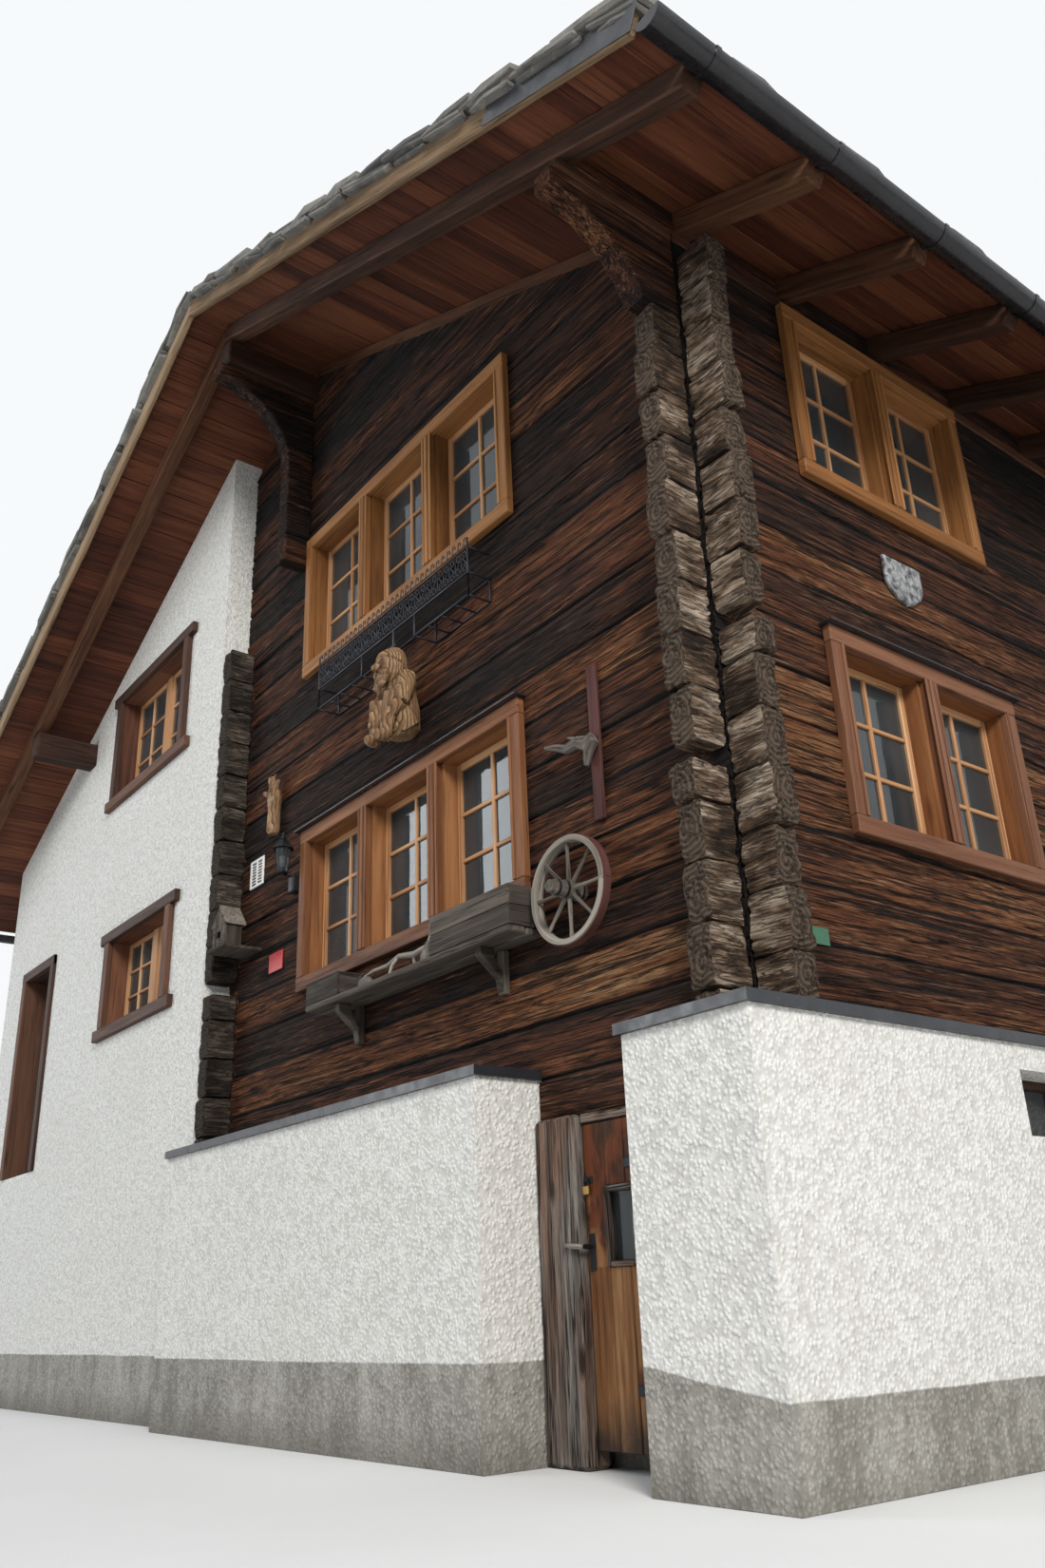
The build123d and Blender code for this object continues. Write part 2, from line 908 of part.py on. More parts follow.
with BuildPart() as rafters:
    for y in rafter_lines:
        pair = chevron(y + rafter_width / 2, left_eave, right_eave, 0, rafter_rise)
        extrude(pair, amount=rafter_width)

with BuildPart() as purlins:
    extrude(ridge_purlin_face(purlin_y), amount=2 * purlin_y)
    extrude(side_purlin_face(purlin_y), amount=2 * purlin_y)
    extrude(eave_purlin_face(purlin_y), amount=2 * purlin_y)
    cut_rafter_notches()


def console(x, top, drop, stack_reach, width):
    """Log console that curves out from the wall to carry a purlin's end."""
    reach = console_reach
    sweep_radius = reach - stack_reach
    nose = (front_face - reach, top - console_nose)
    bend = (front_face - stack_reach, top - console_nose - sweep_radius)
    foot = (front_face - stack_reach, top - drop)
    with BuildSketch(Plane.YZ.offset(x - width / 2)) as side:
        with BuildLine():
            Polyline(foot, (front_face, top - drop), (front_face, top), (front_face - reach, top), nose)
            RadiusArc(nose, bend, sweep_radius)
            Line(bend, foot)
        make_face()
    extrude(side.sketch, amount=width)


with BuildPart() as front_consoles:
    console(ridge_x, ridge_seat - ridge_purlin_depth, ridge_console_drop, wing_proud, log_thickness)
    console(
        (log_inner_x + right_face) / 2, side_top, side_top - corner_console_foot,
        log_end, log_thickness,
    )

with BuildPart() as consoles:
    add(front_consoles.part)
    mirror(front_consoles.part, about=Plane.XZ)

with BuildPart() as roof_boards:
    boards = chevron(
        verge_y - barge_thickness,
        left_eave - slab_eave_overhang / 2, right_eave + slab_eave_overhang / 2,
        rafter_rise, rafter_rise + board_rise,
    )
    extrude(boards, amount=2 * (verge_y - barge_thickness))

with BuildPart() as barge_boards:
    for y in (verge_y, barge_thickness - verge_y):
        board = chevron(
            y, left_eave, right_eave,
            rafter_rise - barge_drop, rafter_rise + board_rise + slab_bed,
        )
        extrude(board, amount=barge_thickness)


def slab_slope(side, eave):
    """Bed and stepped courses of stone slabs on one slope, from the eave to the ridge."""
    low = rafter_rise + board_rise
    top = low + slab_bed
    end = eave + side * slab_eave_overhang
    bed = outline(
        frontal(verge_y - barge_thickness),
        (ridge_x, seat(ridge_x, low)),
        (end, seat(end, low)),
        (end, seat(end, top)),
        (ridge_x, seat(ridge_x, top)),
    )
    extrude(bed, amount=2 * (verge_y - barge_thickness))
    courses = int(abs(end - ridge_x) // slab_course) + 1
    for k in range(courses):
        lower = end - side * k * slab_course
        upper = lower - side * slab_course
        if side * (upper - ridge_x) < slab_course / 3:
            upper = ridge_x
        if side * (lower - ridge_x) < slab_course / 3:
            continue
        reach = verge_y + slab_verge_overhang - slab_scatter * (0.5 + 0.5 * sin(1.9 * k))
        course = outline(
            frontal(reach),
            (lower, seat(lower, top)),
            (lower, seat(lower, top + slab_thickness)),
            (upper, seat(upper, top + slab_tail)),
            (upper, seat(upper, top)),
        )
        extrude(course, amount=2 * reach)


with BuildPart() as roof_slabs_right:
    slab_slope(1, right_eave)

with BuildPart() as roof_slabs_left:
    slab_slope(-1, left_eave)


def half_ring(y, x, z, outer, inner=0):
    """Lower half of a ring or disc that faces the front."""
    with BuildSketch(frontal(y)) as ring:
        with Locations((x, z)):
            Circle(outer)
            if inner:
                Circle(inner, mode=Mode.SUBTRACT)
            Rectangle(3 * outer, 2 * outer, align=(Align.CENTER, Align.MIN), mode=Mode.SUBTRACT)
    return ring.sketch


def gutter(side, eave):
    """Half round gutter with capped ends, on brackets at the rafter ends."""
    x = eave + side * (gutter_gap + gutter_radius)
    z = seat(eave, rafter_rise - gutter_drop)
    trough = half_ring(verge_y, x, z, gutter_radius, gutter_radius - gutter_wall)
    extrude(trough, amount=2 * verge_y)
    for y in (verge_y, gutter_wall - verge_y):
        extrude(half_ring(y, x, z, gutter_radius), amount=gutter_wall)
    for y in rafter_lines:
        strap = half_ring(
            y + bracket_width / 2, x, z, gutter_radius + bracket_thickness, gutter_radius
        )
        extrude(strap, amount=bracket_width)
        x0, x1 = sorted((eave, eave + side * (gutter_gap + gutter_wall / 2)))
        block(
            x0, x1, y - bracket_width / 2, y + bracket_width / 2,
            z - bracket_width, z,
        )


with BuildPart() as gutter_right:
    gutter(1, right_eave)

with BuildPart() as gutter_left:
    gutter(-1, left_eave)

# Windows

with BuildPart() as front_window_frames:
    for window in (front_lower_window, front_upper_window):
        window_frame(front_wall, window, log_thickness)

with BuildPart() as rear_window_frames:
    mirror(front_window_frames.part, about=Plane.XZ)

with BuildPart() as side_window_frames:
    for window in side_lower_windows + side_upper_windows:
        window_frame(right_wall, window, log_thickness)
    with BuildSketch(base_right_wall.offset(-niche_reveal)):
        with Locations(*niche_centres):
            Rectangle(niche_width, niche_height)
            Rectangle(
                niche_width - 2 * niche_rail, niche_height - 2 * niche_rail, mode=Mode.SUBTRACT,
            )
    extrude(amount=-niche_frame_depth)

with BuildPart() as wing_gable_frames:
    for window in (wing_lower_window, wing_upper_window):
        eared_window_frame(wing_front, window, wing_reveal)

with BuildPart() as wing_window_frames:
    add(wing_gable_frames.part)
    mirror(wing_gable_frames.part, about=Plane.XZ)
    for window in wing_side_windows:
        eared_window_frame(wing_left, window, wing_reveal)

with BuildPart() as gable_sashes:
    for window in (front_lower_window, front_upper_window):
        window_sash(front_wall, window, log_thickness)
    for window in (wing_lower_window, wing_upper_window):
        window_sash(wing_front, window, wing_reveal)

with BuildPart() as window_sashes:
    add(gable_sashes.part)
    mirror(gable_sashes.part, about=Plane.XZ)
    for window in side_lower_windows + side_upper_windows:
        window_sash(right_wall, window, log_thickness)
    for window in wing_side_windows:
        window_sash(wing_left, window, wing_reveal)

with BuildPart() as gable_glass:
    for window in (front_lower_window, front_upper_window):
        window_glass(front_wall, window, log_thickness)
    for window in (wing_lower_window, wing_upper_window):
        window_glass(wing_front, window, wing_reveal)

with BuildPart() as window_glazing:
    add(gable_glass.part)
    mirror(gable_glass.part, about=Plane.XZ)
    for window in side_lower_windows + side_upper_windows:
        window_glass(right_wall, window, log_thickness)
    for window in wing_side_windows:
        window_glass(wing_left, window, wing_reveal)
    with BuildSketch(base_right_wall.offset(-niche_reveal - niche_frame_depth / 2)):
        with Locations(*niche_centres):
            Rectangle(niche_width - 2 * niche_rail, niche_height - 2 * niche_rail)
    extrude(amount=-glass_thickness)

with BuildPart() as window_flashings:
    window_flashing(front_wall, front_lower_window)
    for window in side_lower_windows:
        window_flashing(right_wall, window)



def limb(start, end, start_radius, end_radius):
    """Tapered round piece between two points."""
    axis = Vector(*end) - Vector(*start)
    with Locations(Plane(origin=start, z_dir=axis)):
        Cone(
            start_radius, end_radius, axis.length,
            align=(Align.CENTER, Align.CENTER, Align.MIN),
        )


def ball(centre, radius):
    with Locations(centre):
        Sphere(radius)


def cut_wall_back():
    """Flat back of a piece that is fixed against the front wall."""
    block(
        wing_right, right_face, front_face, front_face + log_end, base_height, side_top,
        mode=Mode.SUBTRACT,
    )


# Doors


def hinge_pin(x, y, jamb_x, jamb_y, z):
    """Pin on a bracket that is let into the door frame's face."""
    toward_jamb = 1 if jamb_x > x else -1
    toward_face = 1 if jamb_y > y else -1
    x0, x1 = sorted((x - toward_jamb * hinge_pin_radius, jamb_x))
    y0, y1 = sorted((y - toward_face * hinge_pin_radius, jamb_y))
    block(x0, x1, y0, y1, z - hinge_bracket_height, z)
    with Locations((x, y, z)):
        Cylinder(
            hinge_pin_radius, hinge_eye_height + hinge_bracket_height,
            align=(Align.CENTER, Align.CENTER, Align.MIN),
        )


def hinge_strap(x, y, leaf_face, reach, z):
    """Strap along the leaf's face, with an eye that turns on the pin."""
    bottom = z + hinge_play
    x0, x1 = sorted((x, x + reach))
    y0, y1 = sorted((leaf_face, leaf_face + strap_thickness * (1 if y > leaf_face else -1)))
    block(x0, x1, y0, y1, bottom, bottom + hinge_eye_height)
    with Locations((x, y, bottom)):
        Cylinder(
            hinge_eye_radius, hinge_eye_height,
            align=(Align.CENTER, Align.CENTER, Align.MIN),
        )
        Cylinder(
            hinge_pin_radius + hinge_play, hinge_eye_height,
            align=(Align.CENTER, Align.CENTER, Align.MIN), mode=Mode.SUBTRACT,
        )


cellar_hinge_y = cellar_leaf_front - hinge_axis_out
cellar_hinge_levels = (cellar_leaf_bottom + hinge_inset, cellar_door_top - hinge_inset)
entrance_hinge_y = entrance_leaf_back + hinge_axis_out
entrance_hinge_levels = (entrance_leaf_bottom + hinge_inset, entrance_leaf_top - hinge_inset)

with BuildPart() as cellar_door_frame:
    frame_back = front_face + cellar_frame_depth
    block(post_left, door_left, front_face - cellar_post_proud, frame_back, 0, lintel_bottom)
    block(
        door_left, door_right, front_face, frame_back,
        cellar_door_top + door_gap, lintel_bottom,
    )
    block(door_right - cellar_jamb_width, door_right, front_face, frame_back, 0, lintel_bottom)
    for z in cellar_hinge_levels:
        hinge_pin(cellar_hinge_x, cellar_hinge_y, door_right - door_gap, front_face, z)

spy_x = door_left + spy_from_left + spy_width / 2
spy_centre = (spy_x, spy_sill + spy_height / 2)
handle_x = door_left + latch_gap + handle_from_edge
handle_y = cellar_leaf_front - handle_out

with BuildPart() as cellar_door:
    block(
        door_left + latch_gap, cellar_hinge_x,
        cellar_leaf_front, cellar_leaf_front + cellar_leaf_thickness,
        cellar_leaf_bottom, cellar_door_top,
    )
    with BuildSketch(frontal(cellar_leaf_front)):
        with Locations(spy_centre):
            Rectangle(spy_width + 2 * spy_rail, spy_height + 2 * spy_rail)
    extrude(amount=spy_proud)
    with BuildSketch(frontal(cellar_leaf_front - spy_proud)):
        with Locations(spy_centre):
            Rectangle(spy_width, spy_height)
    extrude(amount=-spy_proud - cellar_leaf_thickness, mode=Mode.SUBTRACT)
    limb(
        (handle_x, cellar_leaf_front, handle_height),
        (handle_x, handle_y, handle_height), 1.2 * handle_radius, handle_radius,
    )
    limb(
        (handle_x + handle_radius, handle_y, handle_height),
        (handle_x - handle_length, handle_y, handle_height + handle_radius),
        handle_radius, 0.8 * handle_radius,
    )
    block(
        door_left + latch_gap, door_left + latch_gap + hasp_width,
        cellar_leaf_front - hasp_thickness, cellar_leaf_front,
        hasp_height - hasp_width / 4, hasp_height + hasp_width / 4,
    )
    for z in cellar_hinge_levels:
        hinge_strap(cellar_hinge_x, cellar_hinge_y, cellar_leaf_front, -strap_length, z)

with BuildPart() as cellar_door_pane:
    middle = cellar_leaf_front + cellar_leaf_thickness / 2
    block(
        spy_x - spy_width / 2, spy_x + spy_width / 2, middle, middle + glass_thickness,
        spy_sill, spy_sill + spy_height,
    )

with BuildPart() as entrance_frame:
    centre_x = (entrance_left + entrance_right) / 2
    clear_width = entrance_width - 2 * entrance_jamb_width
    clear_height = entrance_height - entrance_jamb_width
    on_floor = (Align.CENTER, Align.MIN)
    with BuildSketch(wing_front):
        with Locations((centre_x, floor_level)):
            Rectangle(
                entrance_width + 2 * entrance_casing_cover,
                entrance_height + entrance_casing_cover, align=on_floor,
            )
            Rectangle(clear_width, clear_height, align=on_floor, mode=Mode.SUBTRACT)
    extrude(amount=entrance_casing_proud)
    with BuildSketch(wing_front):
        with Locations((centre_x, floor_level)):
            Rectangle(entrance_width, entrance_height, align=on_floor)
            Rectangle(clear_width, clear_height, align=on_floor, mode=Mode.SUBTRACT)
    extrude(amount=-entrance_frame_depth)
    for z in entrance_hinge_levels:
        hinge_pin(
            entrance_hinge_x, entrance_hinge_y,
            entrance_left + door_gap, entrance_leaf_back + door_gap, z,
        )

with BuildPart() as entrance_door:
    block(
        entrance_hinge_x, entrance_right - entrance_jamb_width - latch_gap,
        entrance_leaf_back - entrance_leaf_thickness, entrance_leaf_back,
        entrance_leaf_bottom, entrance_leaf_top,
    )
    for z in entrance_hinge_levels:
        hinge_strap(entrance_hinge_x, entrance_hinge_y, entrance_leaf_back, strap_length, z)

# Fittings on the front wall

wheel_x = right_face - wheel_from_corner
wheel_back = front_face - wheel_stand_off
wheel_middle = wheel_back - wheel_rim_thickness / 2

with BuildPart() as cart_wheel:
    with BuildSketch(frontal(wheel_back)):
        with Locations((wheel_x, wheel_height)):
            Circle(wheel_radius)
            Circle(wheel_radius - wheel_rim, mode=Mode.SUBTRACT)
    extrude(amount=wheel_rim_thickness)
    for i in range(wheel_spokes // 2):
        turn = 180 * i / (wheel_spokes // 2)
        with Locations(Location((wheel_x, wheel_middle, wheel_height), (0, turn, 0))):
            Cylinder(spoke_radius, 2 * wheel_radius - wheel_rim)
    limb(
        (wheel_x, front_face, wheel_height),
        (wheel_x, front_face - hub_length, wheel_height), hub_radius, hub_nose_radius,
    )

slat_left = right_face - slat_from_corner - slat_width
slat_front = front_face - slat_thickness

with BuildPart() as wall_slat:
    root_start = (slat_left + slat_width, slat_front - 0.6 * root_radius, root_height)
    limb(
        root_start,
        (slat_left + slat_width - root_length, slat_front - 2 * root_radius, root_height + 2 * root_radius),
        root_radius, root_radius / 4,
    )
    ball(root_start, 1.1 * root_radius)
    limb(
        root_start,
        (slat_left, slat_front - root_radius, root_height - 3 * root_radius),
        0.9 * root_radius, root_radius / 2,
    )
    block(
        wing_right, right_face, slat_front, front_face + log_end, base_height, side_top,
        mode=Mode.SUBTRACT,
    )
    block(
        slat_left, slat_left + slat_width, slat_front, front_face,
        slat_bottom, slat_bottom + slat_height,
    )

rack_left = right_face - rack_from_corner - rack_length
rack_right = right_face - rack_from_corner
rack_front = front_face - rack_depth
rack_fence_foot = rack_top - rack_fence_height
rack_tray_foot = rack_fence_foot - rack_tray_drop


def rack_bars(left, right, z):
    """The long bars at one level: one along the front, one on the wall."""
    block(left, right, rack_front, rack_front + rack_bar, z, z + rack_bar)
    block(left, right, front_face - rack_bar, front_face, z, z + rack_bar)


with BuildPart() as flower_rack:
    rack_bars(rack_left, rack_right, rack_fence_foot)
    block(
        rack_left, rack_right, rack_front, rack_front + rack_bar,
        rack_top - rack_bar, rack_top,
    )
    for i in range(rack_bays + 1):
        x = rack_left + i * (rack_length - rack_bar) / rack_bays
        block(x, x + rack_bar, rack_front, rack_front + rack_bar, rack_fence_foot, rack_top)
    for x in (rack_left, rack_right - rack_bar):
        for top in (rack_top, rack_fence_foot + rack_bar):
            block(x, x + rack_bar, rack_front, front_face, top - rack_bar, top)
    for left in (rack_left, rack_right - rack_tray_length):
        rack_bars(left, left + rack_tray_length, rack_tray_foot)
        for i in range(rack_tray_bays + 1):
            x = left + i * (rack_tray_length - rack_bar) / rack_tray_bays
            block(x, x + rack_bar, rack_front, front_face, rack_tray_foot, rack_tray_foot + rack_bar)
        for x in (left, left + rack_tray_length - rack_bar):
            for y in (rack_front, front_face - rack_bar):
                block(x, x + rack_bar, y, y + rack_bar, rack_tray_foot, rack_fence_foot)

shelf_right = right_face - shelf_from_corner
shelf_left = shelf_right - shelf_length
shelf_front = front_face - shelf_depth
shelf_bottom = shelf_top - shelf_thickness

with BuildPart() as flower_shelf:
    block(shelf_left, shelf_right, shelf_front, front_face, shelf_bottom, shelf_top)
    for x in (shelf_left + shelf_bracket_inset, shelf_right - shelf_bracket_inset):
        with BuildSketch(Plane.YZ.offset(x - shelf_bracket_width / 2)):
            with BuildLine():
                Polyline(
                    (front_face, shelf_bottom - shelf_bracket_drop),
                    (front_face - shelf_bracket_depth, shelf_bottom - shelf_bracket_drop),
                    (
                        front_face - shelf_bracket_depth,
                        shelf_bottom - shelf_bracket_depth - shelf_depth / 2,
                    ),
                    (shelf_front + shelf_bracket_depth, shelf_bottom - shelf_bracket_depth),
                    (shelf_front + shelf_bracket_depth, shelf_bottom),
                    (front_face, shelf_bottom),
                    close=True,
                )
            make_face()
        extrude(amount=shelf_bracket_width)


def planter(x, length, height):
    """Open trough of boards, standing on the shelf."""
    back = front_face - casing_proud - door_gap
    front = back - planter_depth
    block(x, x + length, front, back, shelf_top, shelf_top + height)
    block(
        x + planter_board, x + length - planter_board,
        front + planter_board, back - planter_board,
        shelf_top + planter_board, shelf_top + height, mode=Mode.SUBTRACT,
    )


with BuildPart() as planter_boxes:
    planter(shelf_right - right_planter_length, right_planter_length, right_planter_height)
    planter(shelf_left, left_planter_length, left_planter_height)

ornament_x = shelf_right - right_planter_length - 4 * root_radius
stone_x = shelf_left + left_planter_length + 4 * root_radius


def on_shelf(x, out, up):
    """A point over the middle of the shelf's board; out and up are in root radii."""
    return (x, front_face - shelf_depth / 2 - out * root_radius, shelf_top + up * root_radius)


with BuildPart() as shelf_ornaments:
    head = on_shelf(ornament_x + root_radius, 0.1, 3.4)
    ball(on_shelf(ornament_x, 0.3, 1.4), 1.6 * root_radius)
    ball(head, root_radius)
    limb(head, on_shelf(ornament_x + 0.6 * root_radius, -0.3, 6), 0.7 * root_radius, 0.2 * root_radius)
    ball(on_shelf(stone_x, -0.2, 1), 1.5 * root_radius)
    limb(
        on_shelf(ornament_x - 1.2 * root_radius, 0.2, 2.6),
        on_shelf(stone_x - root_radius, -0.5, 2.4), 0.5 * root_radius, 0.25 * root_radius,
    )
    block(
        shelf_left, shelf_right, shelf_front, front_face, shelf_bottom, shelf_top,
        mode=Mode.SUBTRACT,
    )

carving_x = right_face - carving_from_corner
carved_animal_x = front_lower_window.left - carved_animal_from_window


def carved(x, out, up):
    """A point of the seated figure, from its foot against the wall."""
    return (carving_x + x, front_face - out, carving_foot + up)


def beside(x, out, up):
    """A point of the carved animal, from its foot against the wall."""
    return (carved_animal_x + x, front_face - out, carved_animal_foot + up)


with BuildPart() as wall_carvings:
    limb(carved(0, 90, 70), carved(0, 115, 500), 125, 92)
    ball(carved(0, 190, 545), 108)
    limb(carved(0, 180, 575), carved(0, 120, 695), 98, 36)
    limb(carved(0, 255, 530), carved(0, 330, 500), 30, 18)
    limb(carved(0, 225, 500), carved(0, 275, 320), 84, 26)
    for side in (-1, 1):
        limb(carved(side * 92, 112, 470), carved(side * 140, 205, 235), 62, 42)
        limb(carved(side * 142, 195, 255), carved(side * 62, 285, 130), 47, 33)
        limb(carved(side * 75, 80, 130), carved(side * 88, 250, 310), 76, 50)
        limb(carved(side * 88, 225, 335), carved(side * 60, 262, 20), 56, 40)
        ball(carved(side * 58, 290, 48), 50)
    limb(beside(-5, 52, 0), beside(0, 56, 340), 44, 58)
    limb(beside(0, 56, 325), beside(-28, 76, 480), 54, 22)
    limb(beside(-20, 60, 300), beside(-105, 100, 360), 24, 15)
    limb(beside(20, 60, 350), beside(100, 80, 405), 22, 13)
    cut_wall_back()

lantern_x = front_lower_window.left - lantern_from_window
lantern_y = front_face - lantern_out

with BuildPart() as wall_lantern:
    block(
        lantern_x - lantern_box_width / 2, lantern_x + lantern_box_width / 2,
        front_face - lantern_box_depth, front_face,
        lantern_foot - lantern_box_height, lantern_foot,
    )
    block(
        lantern_x - lantern_arm / 2, lantern_x + lantern_arm / 2,
        lantern_y - lantern_arm / 2, front_face - lantern_box_depth,
        lantern_foot - lantern_arm, lantern_foot,
    )
    with BuildSketch(Plane.XY.offset(lantern_foot)):
        with Locations((lantern_x, lantern_y)):
            RegularPolygon(lantern_foot_radius, 6)
    extrude(amount=lantern_body_height, taper=-lantern_flare)
    with BuildSketch(Plane.XY.offset(lantern_foot + lantern_body_height)):
        with Locations((lantern_x, lantern_y)):
            RegularPolygon(lantern_roof_radius, 6)
    extrude(amount=lantern_roof_height, taper=lantern_roof_taper)
    limb(
        (lantern_x, lantern_y, lantern_foot + lantern_body_height + lantern_roof_height),
        (lantern_x, lantern_y, lantern_foot + lantern_body_height + 1.7 * lantern_roof_height),
        lantern_arm / 2, lantern_arm / 4,
    )

with BuildPart() as vent_grille:
    with BuildSketch(front_wall):
        with Locations((vent_x, vent_height)):
            Rectangle(vent_size, vent_size)
            with GridLocations(1.4 * vent_slot_length, vent_slot_pitch, 2, vent_slots):
                Rectangle(vent_slot_length, vent_slot_width, mode=Mode.SUBTRACT)
    extrude(amount=vent_thickness)

nest_front = front_face - nest_shelf_depth + nest_roof_overhang

with BuildPart() as nest_box:
    block(
        nest_x - nest_shelf_width / 2, nest_x + nest_shelf_width / 2,
        front_face - nest_shelf_depth, front_face,
        nest_floor - nest_shelf_thickness, nest_floor,
    )
    eave = nest_floor + nest_wall_height
    gable = outline(
        frontal(nest_front + nest_depth),
        (nest_x - nest_width / 2, nest_floor),
        (nest_x + nest_width / 2, nest_floor),
        (nest_x + nest_width / 2, eave),
        (nest_x, eave + nest_roof_height),
        (nest_x - nest_width / 2, eave),
    )
    extrude(gable, amount=nest_depth)
    fall = 2 * nest_roof_height / nest_width
    half = nest_width / 2 + nest_roof_overhang
    drop = half * fall - nest_roof_height
    roof = outline(
        frontal(nest_front + nest_depth + nest_roof_overhang),
        (nest_x - half, eave - drop),
        (nest_x, eave + nest_roof_height),
        (nest_x + half, eave - drop),
        (nest_x + half, eave - drop + nest_roof_board),
        (nest_x, eave + nest_roof_height + nest_roof_board),
        (nest_x - half, eave - drop + nest_roof_board),
    )
    extrude(roof, amount=nest_depth + 2 * nest_roof_overhang)
    with BuildSketch(frontal(nest_front)):
        with Locations((nest_x, nest_floor + nest_wall_height / 2)):
            Circle(nest_hole_radius)
    extrude(amount=-nest_hole_depth, mode=Mode.SUBTRACT)

sign_x = front_lower_window.left - sign_from_window

with BuildPart() as wall_plates:
    with BuildSketch(front_wall):
        with Locations((sign_x, sign_height)):
            Rectangle(sign_width, sign_drop)
    extrude(amount=plate_thickness)
    with BuildSketch(right_wall):
        with Locations((front_face + plate_from_corner, plate_height)):
            Rectangle(plate_width, plate_drop)
    extrude(amount=plate_thickness)
    with BuildSketch(right_wall):
        middle = front_face + shield_from_corner
        left, right = middle - shield_width / 2, middle + shield_width / 2
        waist = shield_top - shield_height / 2
        tip = (middle, shield_top - shield_height)
        with BuildLine():
            Polyline((left, waist), (left, shield_top), (right, shield_top), (right, waist))
            RadiusArc((right, waist), tip, shield_width)
            RadiusArc(tip, (left, waist), shield_width)
        make_face()
    extrude(amount=shield_thickness)

finish(base_front_left, "base_front_left")
finish(base_front_right, "base_front_right")
finish(base_side, "base_side")
finish(base_rear, "base_rear")
finish(base_spine, "base_spine")
finish(base_caps, "base_caps")
finish(front_wall_lower, "front_wall_lower")
finish(front_wall_upper, "front_wall_upper")
finish(rear_wall_lower, "rear_wall_lower")
finish(rear_wall_upper, "rear_wall_upper")
finish(side_wall_lower, "side_wall_lower")
finish(side_wall_upper, "side_wall_upper")
finish(inner_wall_lower, "inner_wall_lower")
finish(inner_wall_upper, "inner_wall_upper")
finish(wing_front_left, "wing_front_left")
finish(wing_front_right, "wing_front_right")
finish(wing_door_bay, "wing_door_bay")
finish(wing_rear, "wing_rear")
finish(wing_side, "wing_side")
finish(cellar_floor, "cellar_floor")
finish(ground_floor, "ground_floor")
finish(upper_floor, "upper_floor")
finish(rafters, "rafters")
finish(purlins, "purlins")
finish(consoles, "consoles")
finish(roof_boards, "roof_boards")
finish(barge_boards, "barge_boards")
finish(roof_slabs_right, "roof_slabs_right")
finish(roof_slabs_left, "roof_slabs_left")
finish(gutter_right, "gutter_right")
finish(gutter_left, "gutter_left")
finish(front_window_frames, "front_window_frames")
finish(rear_window_frames, "rear_window_frames")
finish(side_window_frames, "side_window_frames")
finish(wing_window_frames, "wing_window_frames")
finish(window_sashes, "window_sashes")
finish(window_glazing, "window_glazing")
finish(window_flashings, "window_flashings")
finish(cellar_door_frame, "cellar_door_frame")
finish(cellar_door, "cellar_door")
finish(entrance_frame, "entrance_frame")
finish(entrance_door, "entrance_door")
finish(cellar_door_pane, "cellar_door_pane")
finish(cart_wheel, "cart_wheel")
finish(wall_slat, "wall_slat")
finish(flower_rack, "flower_rack")
finish(flower_shelf, "flower_shelf")
finish(planter_boxes, "planter_boxes")
finish(shelf_ornaments, "shelf_ornaments")
finish(wall_carvings, "wall_carvings")
finish(wall_lantern, "wall_lantern")
finish(vent_grille, "vent_grille")
finish(nest_box, "nest_box")
finish(wall_plates, "wall_plates")
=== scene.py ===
from math import cos, radians, sin, tan, pi

import bpy
import numpy as np
from mathutils import Matrix, Vector


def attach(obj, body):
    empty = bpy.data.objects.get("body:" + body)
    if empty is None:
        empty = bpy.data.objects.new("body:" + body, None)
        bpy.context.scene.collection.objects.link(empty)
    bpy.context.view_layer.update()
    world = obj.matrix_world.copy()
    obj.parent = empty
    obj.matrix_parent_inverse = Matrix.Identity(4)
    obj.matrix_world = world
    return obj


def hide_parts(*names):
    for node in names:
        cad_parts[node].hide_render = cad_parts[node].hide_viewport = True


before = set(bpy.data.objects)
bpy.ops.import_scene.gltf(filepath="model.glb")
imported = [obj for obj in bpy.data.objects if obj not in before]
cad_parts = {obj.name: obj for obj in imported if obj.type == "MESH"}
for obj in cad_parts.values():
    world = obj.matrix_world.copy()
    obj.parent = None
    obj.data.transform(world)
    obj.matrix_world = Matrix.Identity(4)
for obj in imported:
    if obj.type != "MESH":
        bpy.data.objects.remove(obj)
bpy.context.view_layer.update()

# House frame in metres: X across the gable, -Y the front, Z up
RIGHT, LEFT, FRONT, REAR = 5.2, -5.2, -4.35, 4.35
RIDGE_X, RAFTER_SEAT = 0.99, 6.11
PITCH = radians(24.88)
SLOPE = tan(PITCH)
RIDGE_SEAT = RAFTER_SEAT + SLOPE * (RIGHT - RIDGE_X)
LOG, LOG_THICK = 0.28, 0.15
BASE_TOP = 1.7
SIDE_FIRST = BASE_TOP + LOG / 2
SIDE_TOP = SIDE_FIRST + 15 * LOG
FRONT_SPLIT, SIDE_SPLIT = BASE_TOP + 9 * LOG, SIDE_FIRST + 9 * LOG
WING_OUT = 0.218
WING_FRONT = FRONT - WING_OUT
RAFTER_RISE = 0.14 / cos(PITCH)
BOARD_RISE = 0.03 / cos(PITCH)
SLAB_BED = RAFTER_RISE + BOARD_RISE + 0.07
EAVE_RIGHT, EAVE_LEFT, VERGE = 6.1, -6.1, 5.47
UP = (0, 0, 1.0)


def seat(x, rise=0.0):
    """Height of the rafters' underside at x, plus a rise."""
    return RIDGE_SEAT - SLOPE * abs(x - RIDGE_X) + rise


# Noise for the meshes


